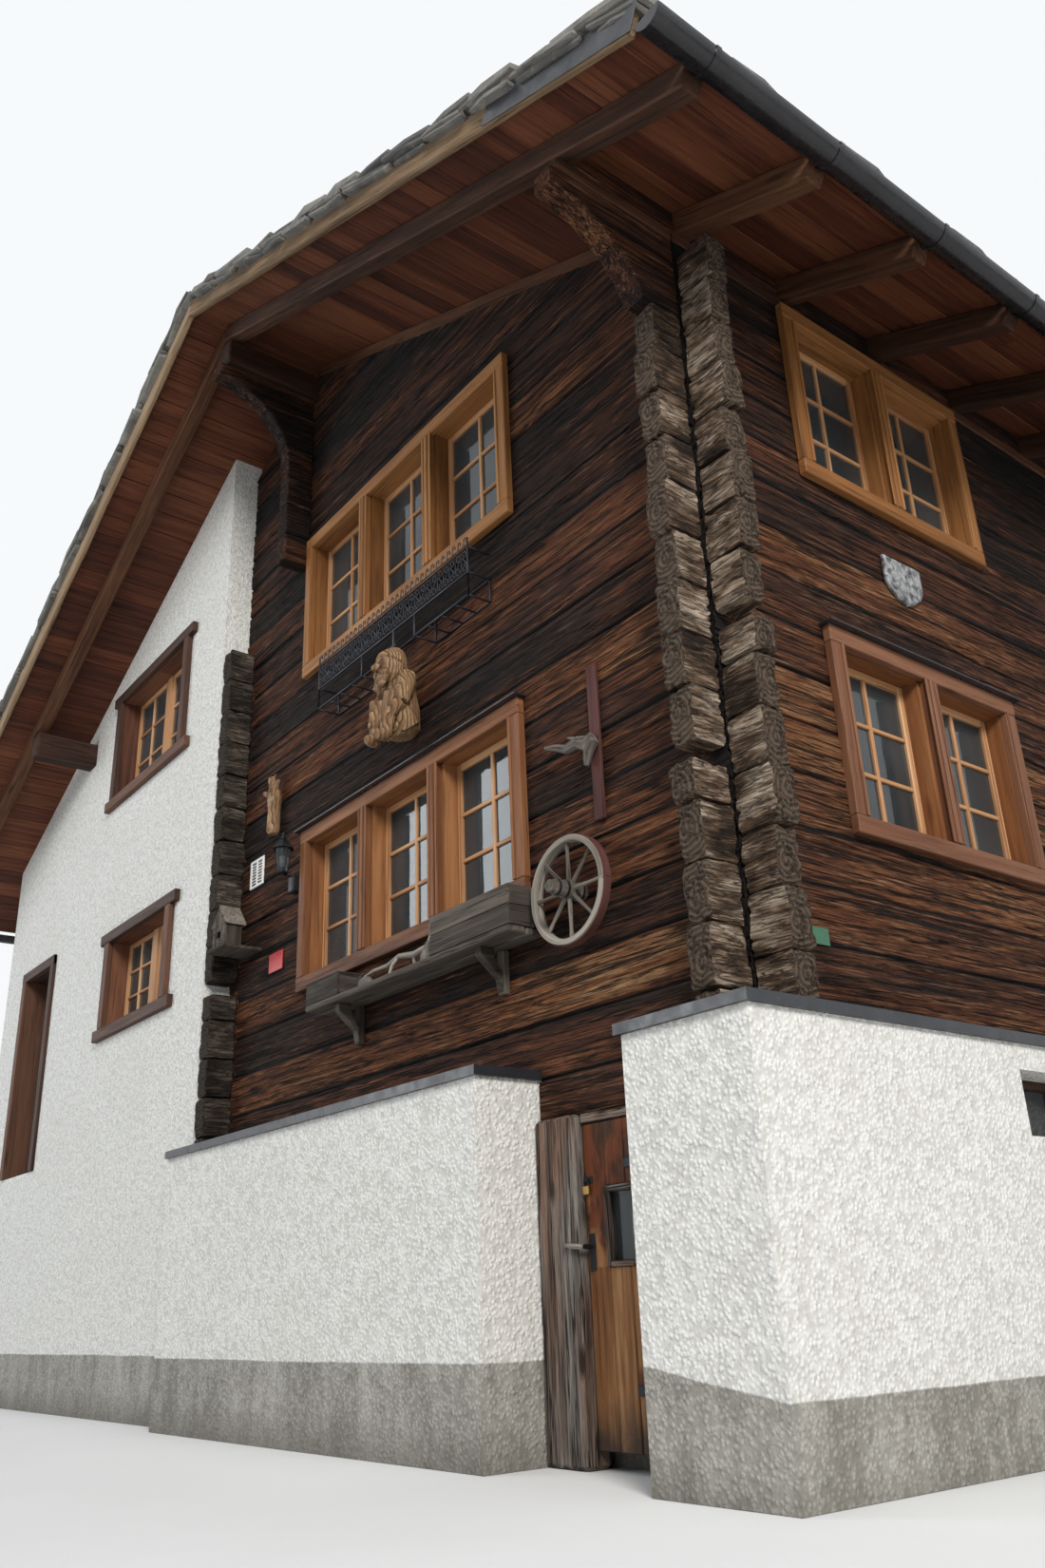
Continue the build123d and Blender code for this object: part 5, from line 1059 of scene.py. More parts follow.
SLAB_CORNERS = np.array([
    (-0.5, -0.5), (0.0, -0.53), (0.5, -0.5), (0.53, -0.2), (0.53, 0.2),
    (0.5, 0.5), (0.0, 0.53), (-0.5, 0.5), (-0.52, 0.0),
])
ROOF_LIMIT = np.array((6.262, 5.525, 8.360))
COURSE = 0.4


def slab(pile, centre, length, width, thick, axes):
    """Irregular split stone: a jittered outline, thinner towards its rim."""
    outline = SLAB_CORNERS * (length, width) + pile.random.uniform(-0.022, 0.022, SLAB_CORNERS.shape)
    n = len(outline)
    base = -thick / 2 + pile.random.uniform(-0.004, 0.004, n)
    top = thick / 2 + pile.random.uniform(-0.008, 0.008, n)
    inset = outline * (1 - 0.028 / np.maximum(np.abs(outline), 0.1) * 0.5)
    layers = ((inset, base), (outline, base * 0.55), (outline, top * 0.45), (inset, top))
    local = np.vstack([np.column_stack(layer) for layer in layers])
    world = np.clip(np.asarray(centre) + local @ axes, -ROOF_LIMIT, ROOF_LIMIT)
    pile.add(world, tube(4, n), local + pile.shift())


def slab_roof(name, side, eave, node, seed):
    """Stepped courses of slabs on one slope, with two layers along its eave and its verges."""
    pile = Pile(seed)
    rng = pile.random
    tilt = PITCH - radians(4.2)
    end = eave + side * 0.06
    lower = end
    while side * (lower - RIDGE_X) > 0.16:
        y = -5.50 - rng.uniform(0, 0.03)
        last = 5.50 + rng.uniform(0, 0.03)
        while y < last - 0.12:
            width = min(rng.uniform(0.32, 0.78), last - y)
            if last - y - width < 0.22:
                width = last - y
            length = 0.56 + rng.uniform(-0.03, 0.05)
            edge = lower + side * rng.uniform(-0.045, 0.0)
            upper = max(side * edge - length * cos(tilt), side * RIDGE_X - 0.02) * side
            length = abs(edge - upper) / cos(tilt)
            thick = rng.uniform(0.038, 0.062)
            xc = (edge + upper) / 2
            lift = 0.046 + thick / 2 + rng.uniform(0, 0.006)
            z = seat(edge, SLAB_BED + lift) + abs(edge - xc) * tan(tilt)
            if width > 0.1 and length > 0.14:
                slab(pile, (xc, y + width / 2, z), length, width - 0.012, thick, roof_axes(side, tilt))
            y += width
        lower -= side * COURSE
    flat = roof_axes(side, PITCH)
    for i in range(2):
        y, xc = -5.49, end - side * 0.18
        while y < 5.3:
            width = min(rng.uniform(0.35, 0.75), 5.49 - y)
            centre = (xc, y + width / 2, seat(xc, SLAB_BED - 0.028 + 0.038 * i))
            slab(pile, centre, 0.34 - 0.03 * i, width - 0.01, 0.036, flat)
            y += width
    for sign in (-1, 1):
        x = end - side * 0.35
        while side * (x - RIDGE_X) > 0.25:
            length = rng.uniform(0.35, 0.62)
            xc = x - side * length / 2
            for level in range(2):
                y = sign * (5.36 + rng.uniform(-0.01, 0.01))
                centre = (xc, y, seat(xc, SLAB_BED - 0.02 + 0.036 * level))
                slab(pile, centre, length - 0.015, 0.30, 0.034, flat)
            x -= side * length
    pile.piece(name, "slabs", "roof_stone", [node])


slab_roof("stone_slabs_right", 1, EAVE_RIGHT, "roof_slabs_right", 61)
slab_roof("stone_slabs_left", -1, EAVE_LEFT, "roof_slabs_left", 62)
bed, ridge = Pile(63), Pile(64)
for side, eave in EAVES:
    low, high = RAFTER_RISE + BOARD_RISE, SLAB_BED + 0.01
    slope_bar(bed, side, RIDGE_X, eave - side * 0.25, 0.0, 10.5, low, high, bevel=0.01)
bed.piece("slab_bed", "slabs", "roof_stone")
y = -5.48
while y < 5.35:
    width = min(ridge.random.uniform(0.4, 0.75), 5.48 - y)
    for side in (-1, 1):
        centre = (RIDGE_X + side * 0.150, y + width / 2, 8.300 + 0.006 * side)
        slab(ridge, centre, 0.34, width - 0.012, 0.04, roof_axes(side, radians(14.0)))
    y += width
ridge.piece("ridge_stones", "slabs", "roof_stone")

# Consoles, built of laid-up log ends

CONSOLE_REACH, CONSOLE_NOSE, CONSOLE_WIDTH, COURSE_GAP = 0.85, 0.12, 0.147, 0.004


def console(pile, x, top, bottom, stack, sign):
    """One console in courses, its lower edge swept in a quarter circle."""
    radius = CONSOLE_REACH - stack
    level = top
    while level > bottom + 0.02:
        low = max(bottom, level - LOG)
        if low - bottom < 0.08:
            low = bottom
        z = np.linspace(level - COURSE_GAP, low + COURSE_GAP, 9)
        height = np.clip(top - CONSOLE_NOSE - z, 0, radius)
        out = CONSOLE_REACH - np.sqrt(radius ** 2 - (radius - height) ** 2)
        outline = [(0.0, z[-1]), (0.0, z[0]), *zip(out, z)]
        origin = (x + sign * CONSOLE_WIDTH / 2, sign * FRONT, 0)
        prism(pile, outline, origin, (0, -sign, 0), CONSOLE_WIDTH, bevel=0.010, roughen=0.004)
        level = low


consoles = Pile(71)
for sign in (1, -1):
    console(consoles, RIDGE_X, RIDGE_SEAT - 0.28, RIDGE_SEAT - 1.92, 0.218, sign)
    console(consoles, 5.125, SIDE_TOP, 5.48, 0.230, sign)
consoles.piece("curved_consoles", "logs_warm", "log_wood", ["consoles"])

# Masonry, sheet metal and panes keep their CAD shapes

for nodes, material in (
    ("base_front_left base_front_right base_side base_rear base_spine cellar_floor", "plaster"),
    ("wing_front_left wing_front_right wing_door_bay wing_rear wing_side", "plaster"),
    ("base_caps window_flashings", "sheet"),
    ("gutter_right gutter_left", "gutter"),
    ("window_glazing cellar_door_pane", "glass"),
):
    for name in nodes.split():
        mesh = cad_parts[name].data
        mesh.materials.clear()
        mesh.materials.append(MAT[material])

floors = Pile(81)
for low, high in ((1.702, 1.978), (4.222, 4.408)):
    for x0, x1, y in ((0.152, 5.048, 4.198), (-4.938, -0.002, 4.138)):
        cuts = np.linspace(x0, x1, int((x1 - x0) / 0.22) + 1)
        for a, b in zip(cuts[:-1], cuts[1:]):
            floors.block((a, -y, low), (b - 0.002, y, high), 1, bevel=0.003, step=2.0)
floors.piece("floor_decks", "floor_boards", "roof_wood", ["ground_floor", "upper_floor"])

# Cellar door

LEAF_FRONT, LEAF_FOOT, LEAF_HEAD = -4.345, 0.078, 1.445
PANE_LEFT, PANE_RIGHT, PANE_LOW, PANE_HIGH = 4.170, 4.378, 0.812, 1.158
PLANK_EDGES = [4.024, PANE_LEFT, 4.306, 4.450, 4.586, 4.734]
CELLAR_PIN, CELLAR_LEVELS = (4.734, -4.367), (0.298, 1.225)
ENTRANCE_PIN, ENTRANCE_LEVELS = (-4.475, -4.301), (2.205, 3.714)
HANDLE = 0.904


def knuckle(pile, pin, low, high, radius, sides):
    """Round part of a hinge about its pin's axis."""
    turned(pile, (*pin, low), (*pin, high), [(0, radius), (1, radius)], sides)


cellar = Wall((0, LEAF_FRONT, 0), (1, 0, 0), (0, -1, 0))
lever, padlock, pane_frame, planks, door_iron, posts, pins = (Pile(88 + i) for i in range(7))
for a, b in zip(PLANK_EDGES[:-1], PLANK_EDGES[1:]):
    spans = [(LEAF_FOOT, LEAF_HEAD)]
    if b > PANE_LEFT and a < PANE_RIGHT:
        spans = [(LEAF_FOOT, PANE_LOW), (PANE_HIGH, LEAF_HEAD)]
    for c, d in spans:
        cellar.board(
            planks, a + 0.0015, b - 0.0015, c, d, -0.045, -0.001, 1, bevel=0.004, step=0.12, wobble=0.0015,
        )
for a, b in ((PLANK_EDGES[0], PANE_LEFT), (PANE_RIGHT, PLANK_EDGES[-1])):
    cellar.board(planks, a, b, PANE_LOW, PANE_HIGH, -0.045, -0.001, 1, bevel=0.003)
cellar.border(pane_frame, PANE_LEFT, PANE_RIGHT, PANE_LOW, PANE_HIGH, 0.026, -0.045, 0.018, bevel=0.005)
pane_frame.piece("cellar_pane_frame", "post", "door_wood", body="cellar_leaf")
planks.piece("cellar_door_planks", "planks", "door_wood", ["cellar_door"], "cellar_leaf")

turned(
    door_iron, (4.060, LEAF_FRONT - 0.001, HANDLE), (4.060, -4.412, HANDLE),
    [(0, 0.022), (0.08, 0.022), (0.1, 0.012), (1, 0.010)],
)
branch(lever, 12, [
    (4.068, -4.415, HANDLE, 0.011), (4.03, -4.417, 0.906, 0.012), (3.98, -4.416, 0.911, 0.011),
    (3.945, -4.412, 0.916, 0.008),
])
lever.piece("cellar_door_lever", "pale_grey", "iron", body="cellar_leaf", smooth=True)
cellar.board(door_iron, 4.040, 4.080, 0.80, 0.96, 0.0, 0.004, 1, bevel=0.0015)
cellar.board(door_iron, 4.024, 4.084, 1.179, 1.209, 0.0, 0.004, 0, bevel=0.0012)
for z in CELLAR_LEVELS:
    cellar.board(door_iron, 4.314, 4.722, z + 0.0005, z + 0.0405, 0.0, 0.012, 0, bevel=0.002)
    knuckle(door_iron, CELLAR_PIN, z + 0.0005, z + 0.0405, 0.0118, 14)
    for x in (4.36, 4.46, 4.56, 4.66):
        nail, head = (x, LEAF_FRONT - 0.012, z + 0.02), (x, LEAF_FRONT - 0.016, z + 0.02)
        turned(door_iron, nail, head, [(0, 0.007), (0.6, 0.006), (1, 0.003)], 8)
staple = [(-4.352, 1.192), (-4.362, 1.200), (-4.362, 1.188), (-4.356, 1.180)]
rod(door_iron, [(4.052, y, z) for y, z in staple], 0.003)
cellar.board(padlock, 4.032, 4.072, 1.128, 1.168, 0.008, 0.022, 1, bevel=0.003)
padlock.piece("cellar_padlock", "brass", "iron", body="cellar_leaf")
shackle = [(4.038, 1.166), (4.038, 1.184), (4.045, 1.196), (4.059, 1.196), (4.066, 1.184), (4.066, 1.166)]
rod(door_iron, [(x, -4.360, z) for x, z in shackle], 0.003)
door_iron.piece("cellar_door_ironwork", "iron", "iron", body="cellar_leaf")

posts.block((3.720, -4.400, 0.002), (4.012, -4.252, 1.498), 2, bevel=0.016, step=0.09, wobble=0.009)
posts.block((4.016, -4.348, 1.452), (4.777, -4.252, 1.498), 0, bevel=0.006, step=0.2, wobble=0.002)
posts.block((4.741, -4.348, 0.002), (4.777, -4.252, 1.450), 2, bevel=0.005, step=0.2, wobble=0.002)
posts.piece("cellar_door_posts", "post", "door_wood", ["cellar_door_frame"])
for pin, levels, x0, x1, y in (
    (CELLAR_PIN, CELLAR_LEVELS, 4.727, 4.773, -4.374),
    (ENTRANCE_PIN, ENTRANCE_LEVELS, -4.534, -4.468, -4.317),
):
    for z in levels:
        knuckle(pins, pin, z - 0.012, z + 0.039, 0.0078, 12)
        pins.block((x0, y, z - 0.0115), (x1, y + 0.023, z - 0.0005), 0, bevel=0.001)
pins.piece("hinge_pins", "iron", "iron")

# Entrance door

entrance = Wall((0, -4.373, 0), (1, 0, 0), (0, -1, 0))
oak, oak_iron, casing = Pile(95), Pile(96), Pile(97)
STILE, PANELS = 0.11, 4
x0, x1, z0, z1 = ENTRANCE_PIN[0], -3.710, 1.985, 3.939
left, right_end = x0 + STILE, x1 - STILE
panel = (right_end - left) / PANELS
for a, b in ((x0, left), (right_end, x1)):
    entrance.board(oak, a, b, z0, z1, -0.050, 0.0, 1, bevel=0.005, step=0.3)
for c, d in ((z0, z0 + 0.16), (2.82, 2.94), (z1 - 0.12, z1)):
    entrance.board(oak, left, right_end, c, d, -0.050, 0.0, 0, bevel=0.005, step=0.3)
for c, d in ((z0 + 0.16, 2.82), (2.94, z1 - 0.12)):
    for i in range(PANELS):
        a = left + i * panel
        entrance.board(oak, a, a + panel - 0.003, c, d, -0.040, -0.012, 1, bevel=0.004, step=0.3)
oak.piece("entrance_door_leaf", "brown", "door_wood", ["entrance_door"], "entrance_leaf")
rose = [(0, 0.024), (0.1, 0.024), (0.12, 0.010), (1, 0.010)]
turned(oak_iron, (-3.765, -4.373, 2.99), (-3.765, -4.425, 2.99), rose, 12)
branch(oak_iron, 8, [
    (-3.765, -4.422, 2.99, 0.010), (-3.80, -4.424, 2.99, 0.010), (-3.86, -4.422, 2.988, 0.009),
    (-3.885, -4.418, 2.984, 0.007),
])
for z in ENTRANCE_LEVELS:
    oak_iron.block((-4.460, -4.322, z + 0.0005), (-4.055, -4.311, z + 0.0405), 0, bevel=0.002)
    knuckle(oak_iron, ENTRANCE_PIN, z + 0.0005, z + 0.0405, 0.0118, 14)
oak_iron.piece("entrance_door_ironwork", "iron", "iron", body="entrance_leaf")
for a, b in ((-4.578, -4.480), (-3.700, -3.602)):
    wing_front.board(casing, a, b, 1.982, 4.040, 0.0, 0.030, 1, bevel=0.004)
wing_front.board(casing, -4.578, -3.602, 3.944, 4.042, 0.0, 0.032, 0, bevel=0.004)
for a, b in ((-4.540, -4.480), (-3.700, -3.640)):
    wing_front.board(casing, a, b, 1.982, 4.002, -0.250, 0.0, 1, bevel=0.004)
wing_front.board(casing, -4.480, -3.700, 3.944, 4.002, -0.250, 0.0, 0, bevel=0.004)
casing.piece("entrance_casing", "brown", "door_wood", ["entrance_frame"])

# Cart wheel, slat and root

WHEEL, RIM_SIDES = np.array((4.142, -4.440, 2.568)), 64
rim_pale, wheel_red, spokes, bands, slat, root = (Pile(seed) for seed in (101, 102, 99, 103, 104, 105))


def on_axle(pile, y0, y1, radii):
    """Round part of the hub."""
    turned(pile, (WHEEL[0], y0, WHEEL[2]), (WHEEL[0], y1, WHEEL[2]), radii, 20)


angles = np.linspace(0, 2 * pi, RIM_SIDES, endpoint=False)
felloe = [(0.247, 0.027), (0.249, -0.024), (0.254, -0.028), (0.276, -0.028), (0.280, -0.024), (0.281, 0.027)]
tyre = [(0.2805, -0.018), (0.2855, -0.018), (0.2855, 0.026), (0.2805, 0.026)]
for pile, profile in ((rim_pale, felloe), (wheel_red, tyre)):
    verts, at, faces = [], [], []
    for i, (r, w) in enumerate(profile):
        depth = np.full(RIM_SIDES, w)
        verts.append(np.column_stack((np.cos(angles) * r, depth, np.sin(angles) * r)))
        at.append(np.column_stack((angles * 0.28, np.full(RIM_SIDES, r), depth)))
        ring, ahead = i * RIM_SIDES, (i + 1) % len(profile) * RIM_SIDES
        for k in range(RIM_SIDES):
            j = (k + 1) % RIM_SIDES
            faces.append((ring + k, ahead + k, ahead + j, ring + j))
    pile.add(np.vstack(verts) + WHEEL, faces, np.vstack(at) + 3.0, 0.8)
for i in range(8):
    direction = np.array((cos(i * pi / 4), 0, sin(i * pi / 4)))
    thin = [(0, 0.0125), (0.3, 0.0115), (0.75, 0.009), (1, 0.0125)]
    turned(spokes, WHEEL + 0.03 * direction, WHEEL + 0.249 * direction, thin, 8)
on_axle(spokes, -4.352, -4.574, [
    (0, 0.046), (0.16, 0.049), (0.2, 0.044), (0.30, 0.046), (0.34, 0.048), (0.50, 0.046), (0.54, 0.042),
    (0.74, 0.037), (0.76, 0.040), (0.86, 0.039), (0.88, 0.034), (0.98, 0.033), (1.0, 0.028),
])
rim_pale.piece("wheel_rim", "rim", "grey_wood", ["cart_wheel"])
wheel_red.piece("wheel_tyre", "old_red", "grey_wood")
spokes.piece("wheel_spokes_and_hub", "spokes", "grey_wood")
for y0, y1, r in ((-4.375, -4.387, 0.0495), (-4.468, -4.478, 0.0478), (-4.520, -4.532, 0.0415)):
    on_axle(bands, y0, y1, [(0, r), (1, r)])
bands.piece("wheel_bands", "iron", "iron")

slat.block((4.286, -4.3745, 2.896), (4.364, -4.351, 3.774), 2, bevel=0.006, step=0.06, wobble=0.004)
slat.piece("mounted_slat", "old_red", "grey_wood", ["wall_slat"])
branch(root, 9, [
    (4.355, -4.400, 3.335, 0.037), (4.31, -4.41, 3.31, 0.045), (4.24, -4.415, 3.345, 0.034),
    (4.16, -4.425, 3.335, 0.025), (4.08, -4.435, 3.372, 0.018), (4.01, -4.445, 3.392, 0.008),
])
branch(root, 9, [
    (4.345, -4.405, 3.315, 0.036), (4.32, -4.41, 3.27, 0.030), (4.302, -4.408, 3.225, 0.022),
    (4.296, -4.41, 3.195, 0.014),
])
branch(root, 7, [(4.24, -4.415, 3.345, 0.018), (4.215, -4.418, 3.375, 0.012), (4.175, -4.424, 3.394, 0.006)])
root.piece("mounted_root", "grey", "grey_wood")

# Iron flower rack: scrolled fence, curled hooks and two hanging trays

rack = Pile(106)
RACK_LEFT, RACK_RIGHT, RACK_FRONT = 1.595, 3.455, -4.525
TRAY_FOOT, FENCE_FOOT, FENCE_RAIL, HOOK_TOP = 4.600, 4.760, 4.940, 5.028
TRAY_LENGTH, BAR, WIRE = 0.610, 0.011, 0.0042
WALL_BAR = FRONT - BAR - 0.001
BAYS, HOOKS = 28, 31


def rack_rail(x0, x1, y, z):
    rack.block((x0, y, z), (x1, y + BAR, z + BAR), 0, bevel=0.002, step=0.3, wobble=0.0006)


for z in (FENCE_FOOT, FENCE_RAIL):
    rack_rail(RACK_LEFT + 0.001, RACK_RIGHT - 0.001, RACK_FRONT + 0.001, z)
rack_rail(RACK_LEFT + 0.001, RACK_RIGHT - 0.001, WALL_BAR, FENCE_FOOT)
for x in (RACK_LEFT + 0.001, RACK_RIGHT - 0.012):
    for z in (FENCE_FOOT, FENCE_RAIL):
        rack.block((x, RACK_FRONT + BAR, z), (x + BAR, FRONT - 0.001, z + BAR), 1, bevel=0.002)
    rack.block((x, RACK_FRONT + 0.001, TRAY_FOOT + 0.001), (x + BAR, RACK_FRONT + BAR, 5.012), 2, bevel=0.002)
for left in (RACK_LEFT, RACK_RIGHT - TRAY_LENGTH):
    right_end = left + TRAY_LENGTH
    for y in (RACK_FRONT + 0.001, WALL_BAR):
        rack_rail(left + 0.001, right_end - 0.001, y, TRAY_FOOT + 0.001)
        for x in (left + 0.001, right_end - 0.012):
            rack.block((x, y, TRAY_FOOT + 0.001), (x + BAR, y + BAR, FENCE_FOOT), 2, bevel=0.002)
    for i in range(5):
        x = left + 0.001 + i * (TRAY_LENGTH - 0.013) / 4
        low = (x, RACK_FRONT + BAR, TRAY_FOOT + 0.001)
        rack.block(low, (x + BAR, FRONT - 0.001, TRAY_FOOT + BAR), 1, bevel=0.002)
rack.block((2.592, RACK_FRONT + 0.002, 4.640), (2.612, RACK_FRONT + 0.006, FENCE_FOOT), 2, bevel=0.001)
rack.block((2.572, RACK_FRONT + 0.001, 4.636), (2.632, RACK_FRONT + 0.006, 4.654), 0, bevel=0.001)


def scroll(x, z, size, turn, lean):
    """Rolled end of a scroll: a spiral that runs in to its centre."""
    points = []
    for a in np.linspace(0, 7.6, 18):
        radius = size * (1 - a / 11)
        points.append((x + lean * radius * cos(turn + a), RACK_FRONT + 0.0065, z + radius * sin(turn + a)))
    return points


bay = (RACK_RIGHT - RACK_LEFT - BAR) / BAYS
for i in range(BAYS):
    cx = RACK_LEFT + 0.006 + (i + 0.5) * bay
    lean = 1 if i % 2 else -1
    lower = scroll(cx + 0.004 * lean, FENCE_FOOT + 0.047, 0.029, 0.4, lean)
    upper = scroll(cx - 0.004 * lean, FENCE_RAIL - 0.034, 0.027, 0.4 + pi, lean)
    rod(rack, lower[::-1] + upper, WIRE, 5)
    x, y = cx - 0.5 * bay, RACK_FRONT + 0.006
    rod(rack, [(x, y, FENCE_FOOT + 0.01), (x, y, FENCE_RAIL)], 0.0032, 5)
for i in range(HOOKS):
    x = RACK_LEFT + 0.014 + i * (RACK_RIGHT - RACK_LEFT - 0.060) / (HOOKS - 1)
    curl = 0.0175 - 0.0015 * (i % 3)
    top = HOOK_TOP - curl - WIRE - 0.004 * ((i * 7) % 4) / 3
    points = [(x, FENCE_RAIL + 0.004), (x - 0.004, 0.5 * (FENCE_RAIL + top))]
    for a in np.linspace(0, 4.3, 12):
        radius = curl * (1 - a / 16)
        points.append((x + curl - radius * cos(a), top + radius * sin(a)))
    rod(rack, [(u, RACK_FRONT + 0.007, v) for u, v in points], WIRE, 5)
rack.piece("scrolled_flower_rack", "rack_iron", "iron", ["flower_rack"], smooth=True)

# Shelf, troughs and ornaments

shelf, troughs, ornaments, pebble = (Pile(107 + i) for i in range(4))
shelf.block((1.662, -4.583, 2.422), (3.812, -4.468, 2.459), 0, bevel=0.008, step=0.12, wobble=0.004)
shelf.block((1.664, -4.464, 2.421), (3.810, -4.352, 2.458), 0, bevel=0.008, step=0.12, wobble=0.004)
bracket = [
    (0.043, 2.285), (0.043, 2.19), (0.060, 2.262), (0.186, 2.372), (0.189, 2.419), (0.10, 2.419),
    (0.094, 2.37),
]
for x in (1.990, 3.484):
    low, high = (x - 0.029, -4.394, 2.179), (x + 0.029, -4.351, 2.419)
    shelf.block(low, high, 2, bevel=0.006, step=0.1, wobble=0.002)
    prism(shelf, bracket, (x + 0.026, FRONT, 0), (0, -1, 0), 0.052, bevel=0.004, roughen=0.002)
shelf.piece("bracketed_shelf", "dark_grey", "grey_wood", ["flower_shelf"])

TROUGH_FRONT, TROUGH_BACK, TROUGH_FOOT = -4.580, -4.405, 2.4605
for a, b, height, boards in ((3.084, 3.814, 0.220, 2), (1.660, 2.060, 0.150, 1)):
    y0, y1, z = TROUGH_FRONT, TROUGH_BACK, TROUGH_FOOT
    for k in range(boards):
        c, d = z + 0.001 + k * height / boards, z + (k + 1) * height / boards - 0.002
        front_low, front_high = (a + 0.001, y0 + 0.001, c), (b - 0.001, y0 + 0.019, d)
        troughs.block(front_low, front_high, 0, bevel=0.004, step=0.12, wobble=0.0016)
        troughs.block((a + 0.001, y1 - 0.019, c), (b - 0.001, y1 - 0.001, d), 0, bevel=0.004, step=0.12)
        for x in (a + 0.001, b - 0.020):
            troughs.block((x, y0 + 0.020, c), (x + 0.019, y1 - 0.020, d), 1, bevel=0.004)
    troughs.block((a + 0.021, y0 + 0.021, z), (b - 0.021, y1 - 0.021, z + 0.018), 0, bevel=0.003)
troughs.piece("board_troughs", "dark_grey", "grey_wood", ["planter_boxes"])

body = [(0, 0.035), (0.06, 0.058), (0.3, 0.062), (0.6, 0.048), (0.85, 0.032), (1, 0.018)]
head = [(0, 0.02), (0.25, 0.034), (0.7, 0.030), (1, 0.014)]
turned(ornaments, (2.924, -4.467, 2.461), (2.944, -4.467, 2.61), body, 14)
turned(ornaments, (2.95, -4.467, 2.575), (2.985, -4.475, 2.635), head, 12)
for s in (-1, 1):
    ear, tip = (2.955, -4.467 + s * 0.014, 2.63), (2.948, -4.467 + s * 0.018, 2.694)
    turned(ornaments, ear, tip, [(0, 0.011), (0.5, 0.010), (1, 0.003)], 8)
branch(ornaments, 9, [
    (2.870, -4.467, 2.572, 0.018), (2.74, -4.455, 2.566, 0.020), (2.60, -4.475, 2.584, 0.015),
    (2.46, -4.465, 2.560, 0.014), (2.32, -4.47, 2.562, 0.011), (2.20, -4.467, 2.552, 0.006),
])
branch(ornaments, 7, [(2.60, -4.475, 2.584, 0.012), (2.55, -4.49, 2.535, 0.010), (2.53, -4.50, 2.475, 0.007)])
branch(ornaments, 7, [(2.74, -4.455, 2.566, 0.012), (2.72, -4.44, 2.51, 0.010), (2.70, -4.435, 2.468, 0.008)])
ornaments.piece("shelf_figures", "pale_grey", "carved_wood", ["shelf_ornaments"])
stone = [(0, 0.012), (0.12, 0.034), (0.4, 0.050), (0.7, 0.046), (0.92, 0.028), (1, 0.008)]
turned(pebble, (2.165, -4.467, 2.475), (2.272, -4.467, 2.520), stone, 14)
pebble.piece("shelf_stone", "slabs", "roof_stone")

# Carved figures


def carve(pile, x0, z0, limbs, swell=1.0, sides=(1,)):
    """Limbs of a carved figure, each a row of points: across, out of the wall, up, radius."""
    for s in sides:
        for limb in limbs:
            branch(pile, 14, [(x0 + s * x, FRONT - out, z0 + up, swell * r) for x, out, up, r in limb])


def fused(pile, voxel, seed):
    """One carved body from limbs that run into each other."""
    mesh = bpy.data.meshes.new("limbs")
    mesh.from_pydata(np.vstack(pile.verts).tolist(), [], pile.faces)
    limbs = bpy.data.objects.new("limbs", mesh)
    bpy.context.scene.collection.objects.link(limbs)
    skin = limbs.modifiers.new("skin", "REMESH")
    skin.mode, skin.voxel_size = "VOXEL", voxel
    soft = limbs.modifiers.new("soft", "SMOOTH")
    soft.factor, soft.iterations = 0.4, 1
    shape = limbs.evaluated_get(bpy.context.evaluated_depsgraph_get()).to_mesh()
    verts = np.array([v.co for v in shape.vertices])
    faces = [tuple(p.vertices) for p in shape.polygons]
    bpy.data.objects.remove(limbs)
    bpy.data.meshes.remove(mesh)
    body = Pile(seed)
    body.add(verts, faces, verts[:, (2, 0, 1)], 0.5)
    return body


# Torso, head, hood and nose, then the limbs of one side: brow, mouth, upper arm, forearm, thigh, shin, foot
SEATED_MIDDLE = (
    ((0, 0.10, 0.08, 0.07), (0, 0.105, 0.12, 0.115), (0, 0.11, 0.25, 0.118), (0, 0.12, 0.40, 0.100),
     (0, 0.13, 0.49, 0.085), (0, 0.15, 0.53, 0.045)),
    ((0, 0.17, 0.44, 0.045), (0, 0.185, 0.49, 0.088), (0, 0.190, 0.545, 0.100), (0, 0.187, 0.60, 0.088),
     (0, 0.18, 0.63, 0.05)),
    ((0, 0.185, 0.575, 0.104), (0, 0.175, 0.60, 0.103), (0, 0.155, 0.64, 0.082), (0, 0.135, 0.68, 0.052),
     (0, 0.12, 0.705, 0.020)),
    ((0, 0.262, 0.545, 0.016), (0, 0.295, 0.532, 0.026), (0, 0.315, 0.512, 0.022), (0, 0.318, 0.500, 0.012)),
)
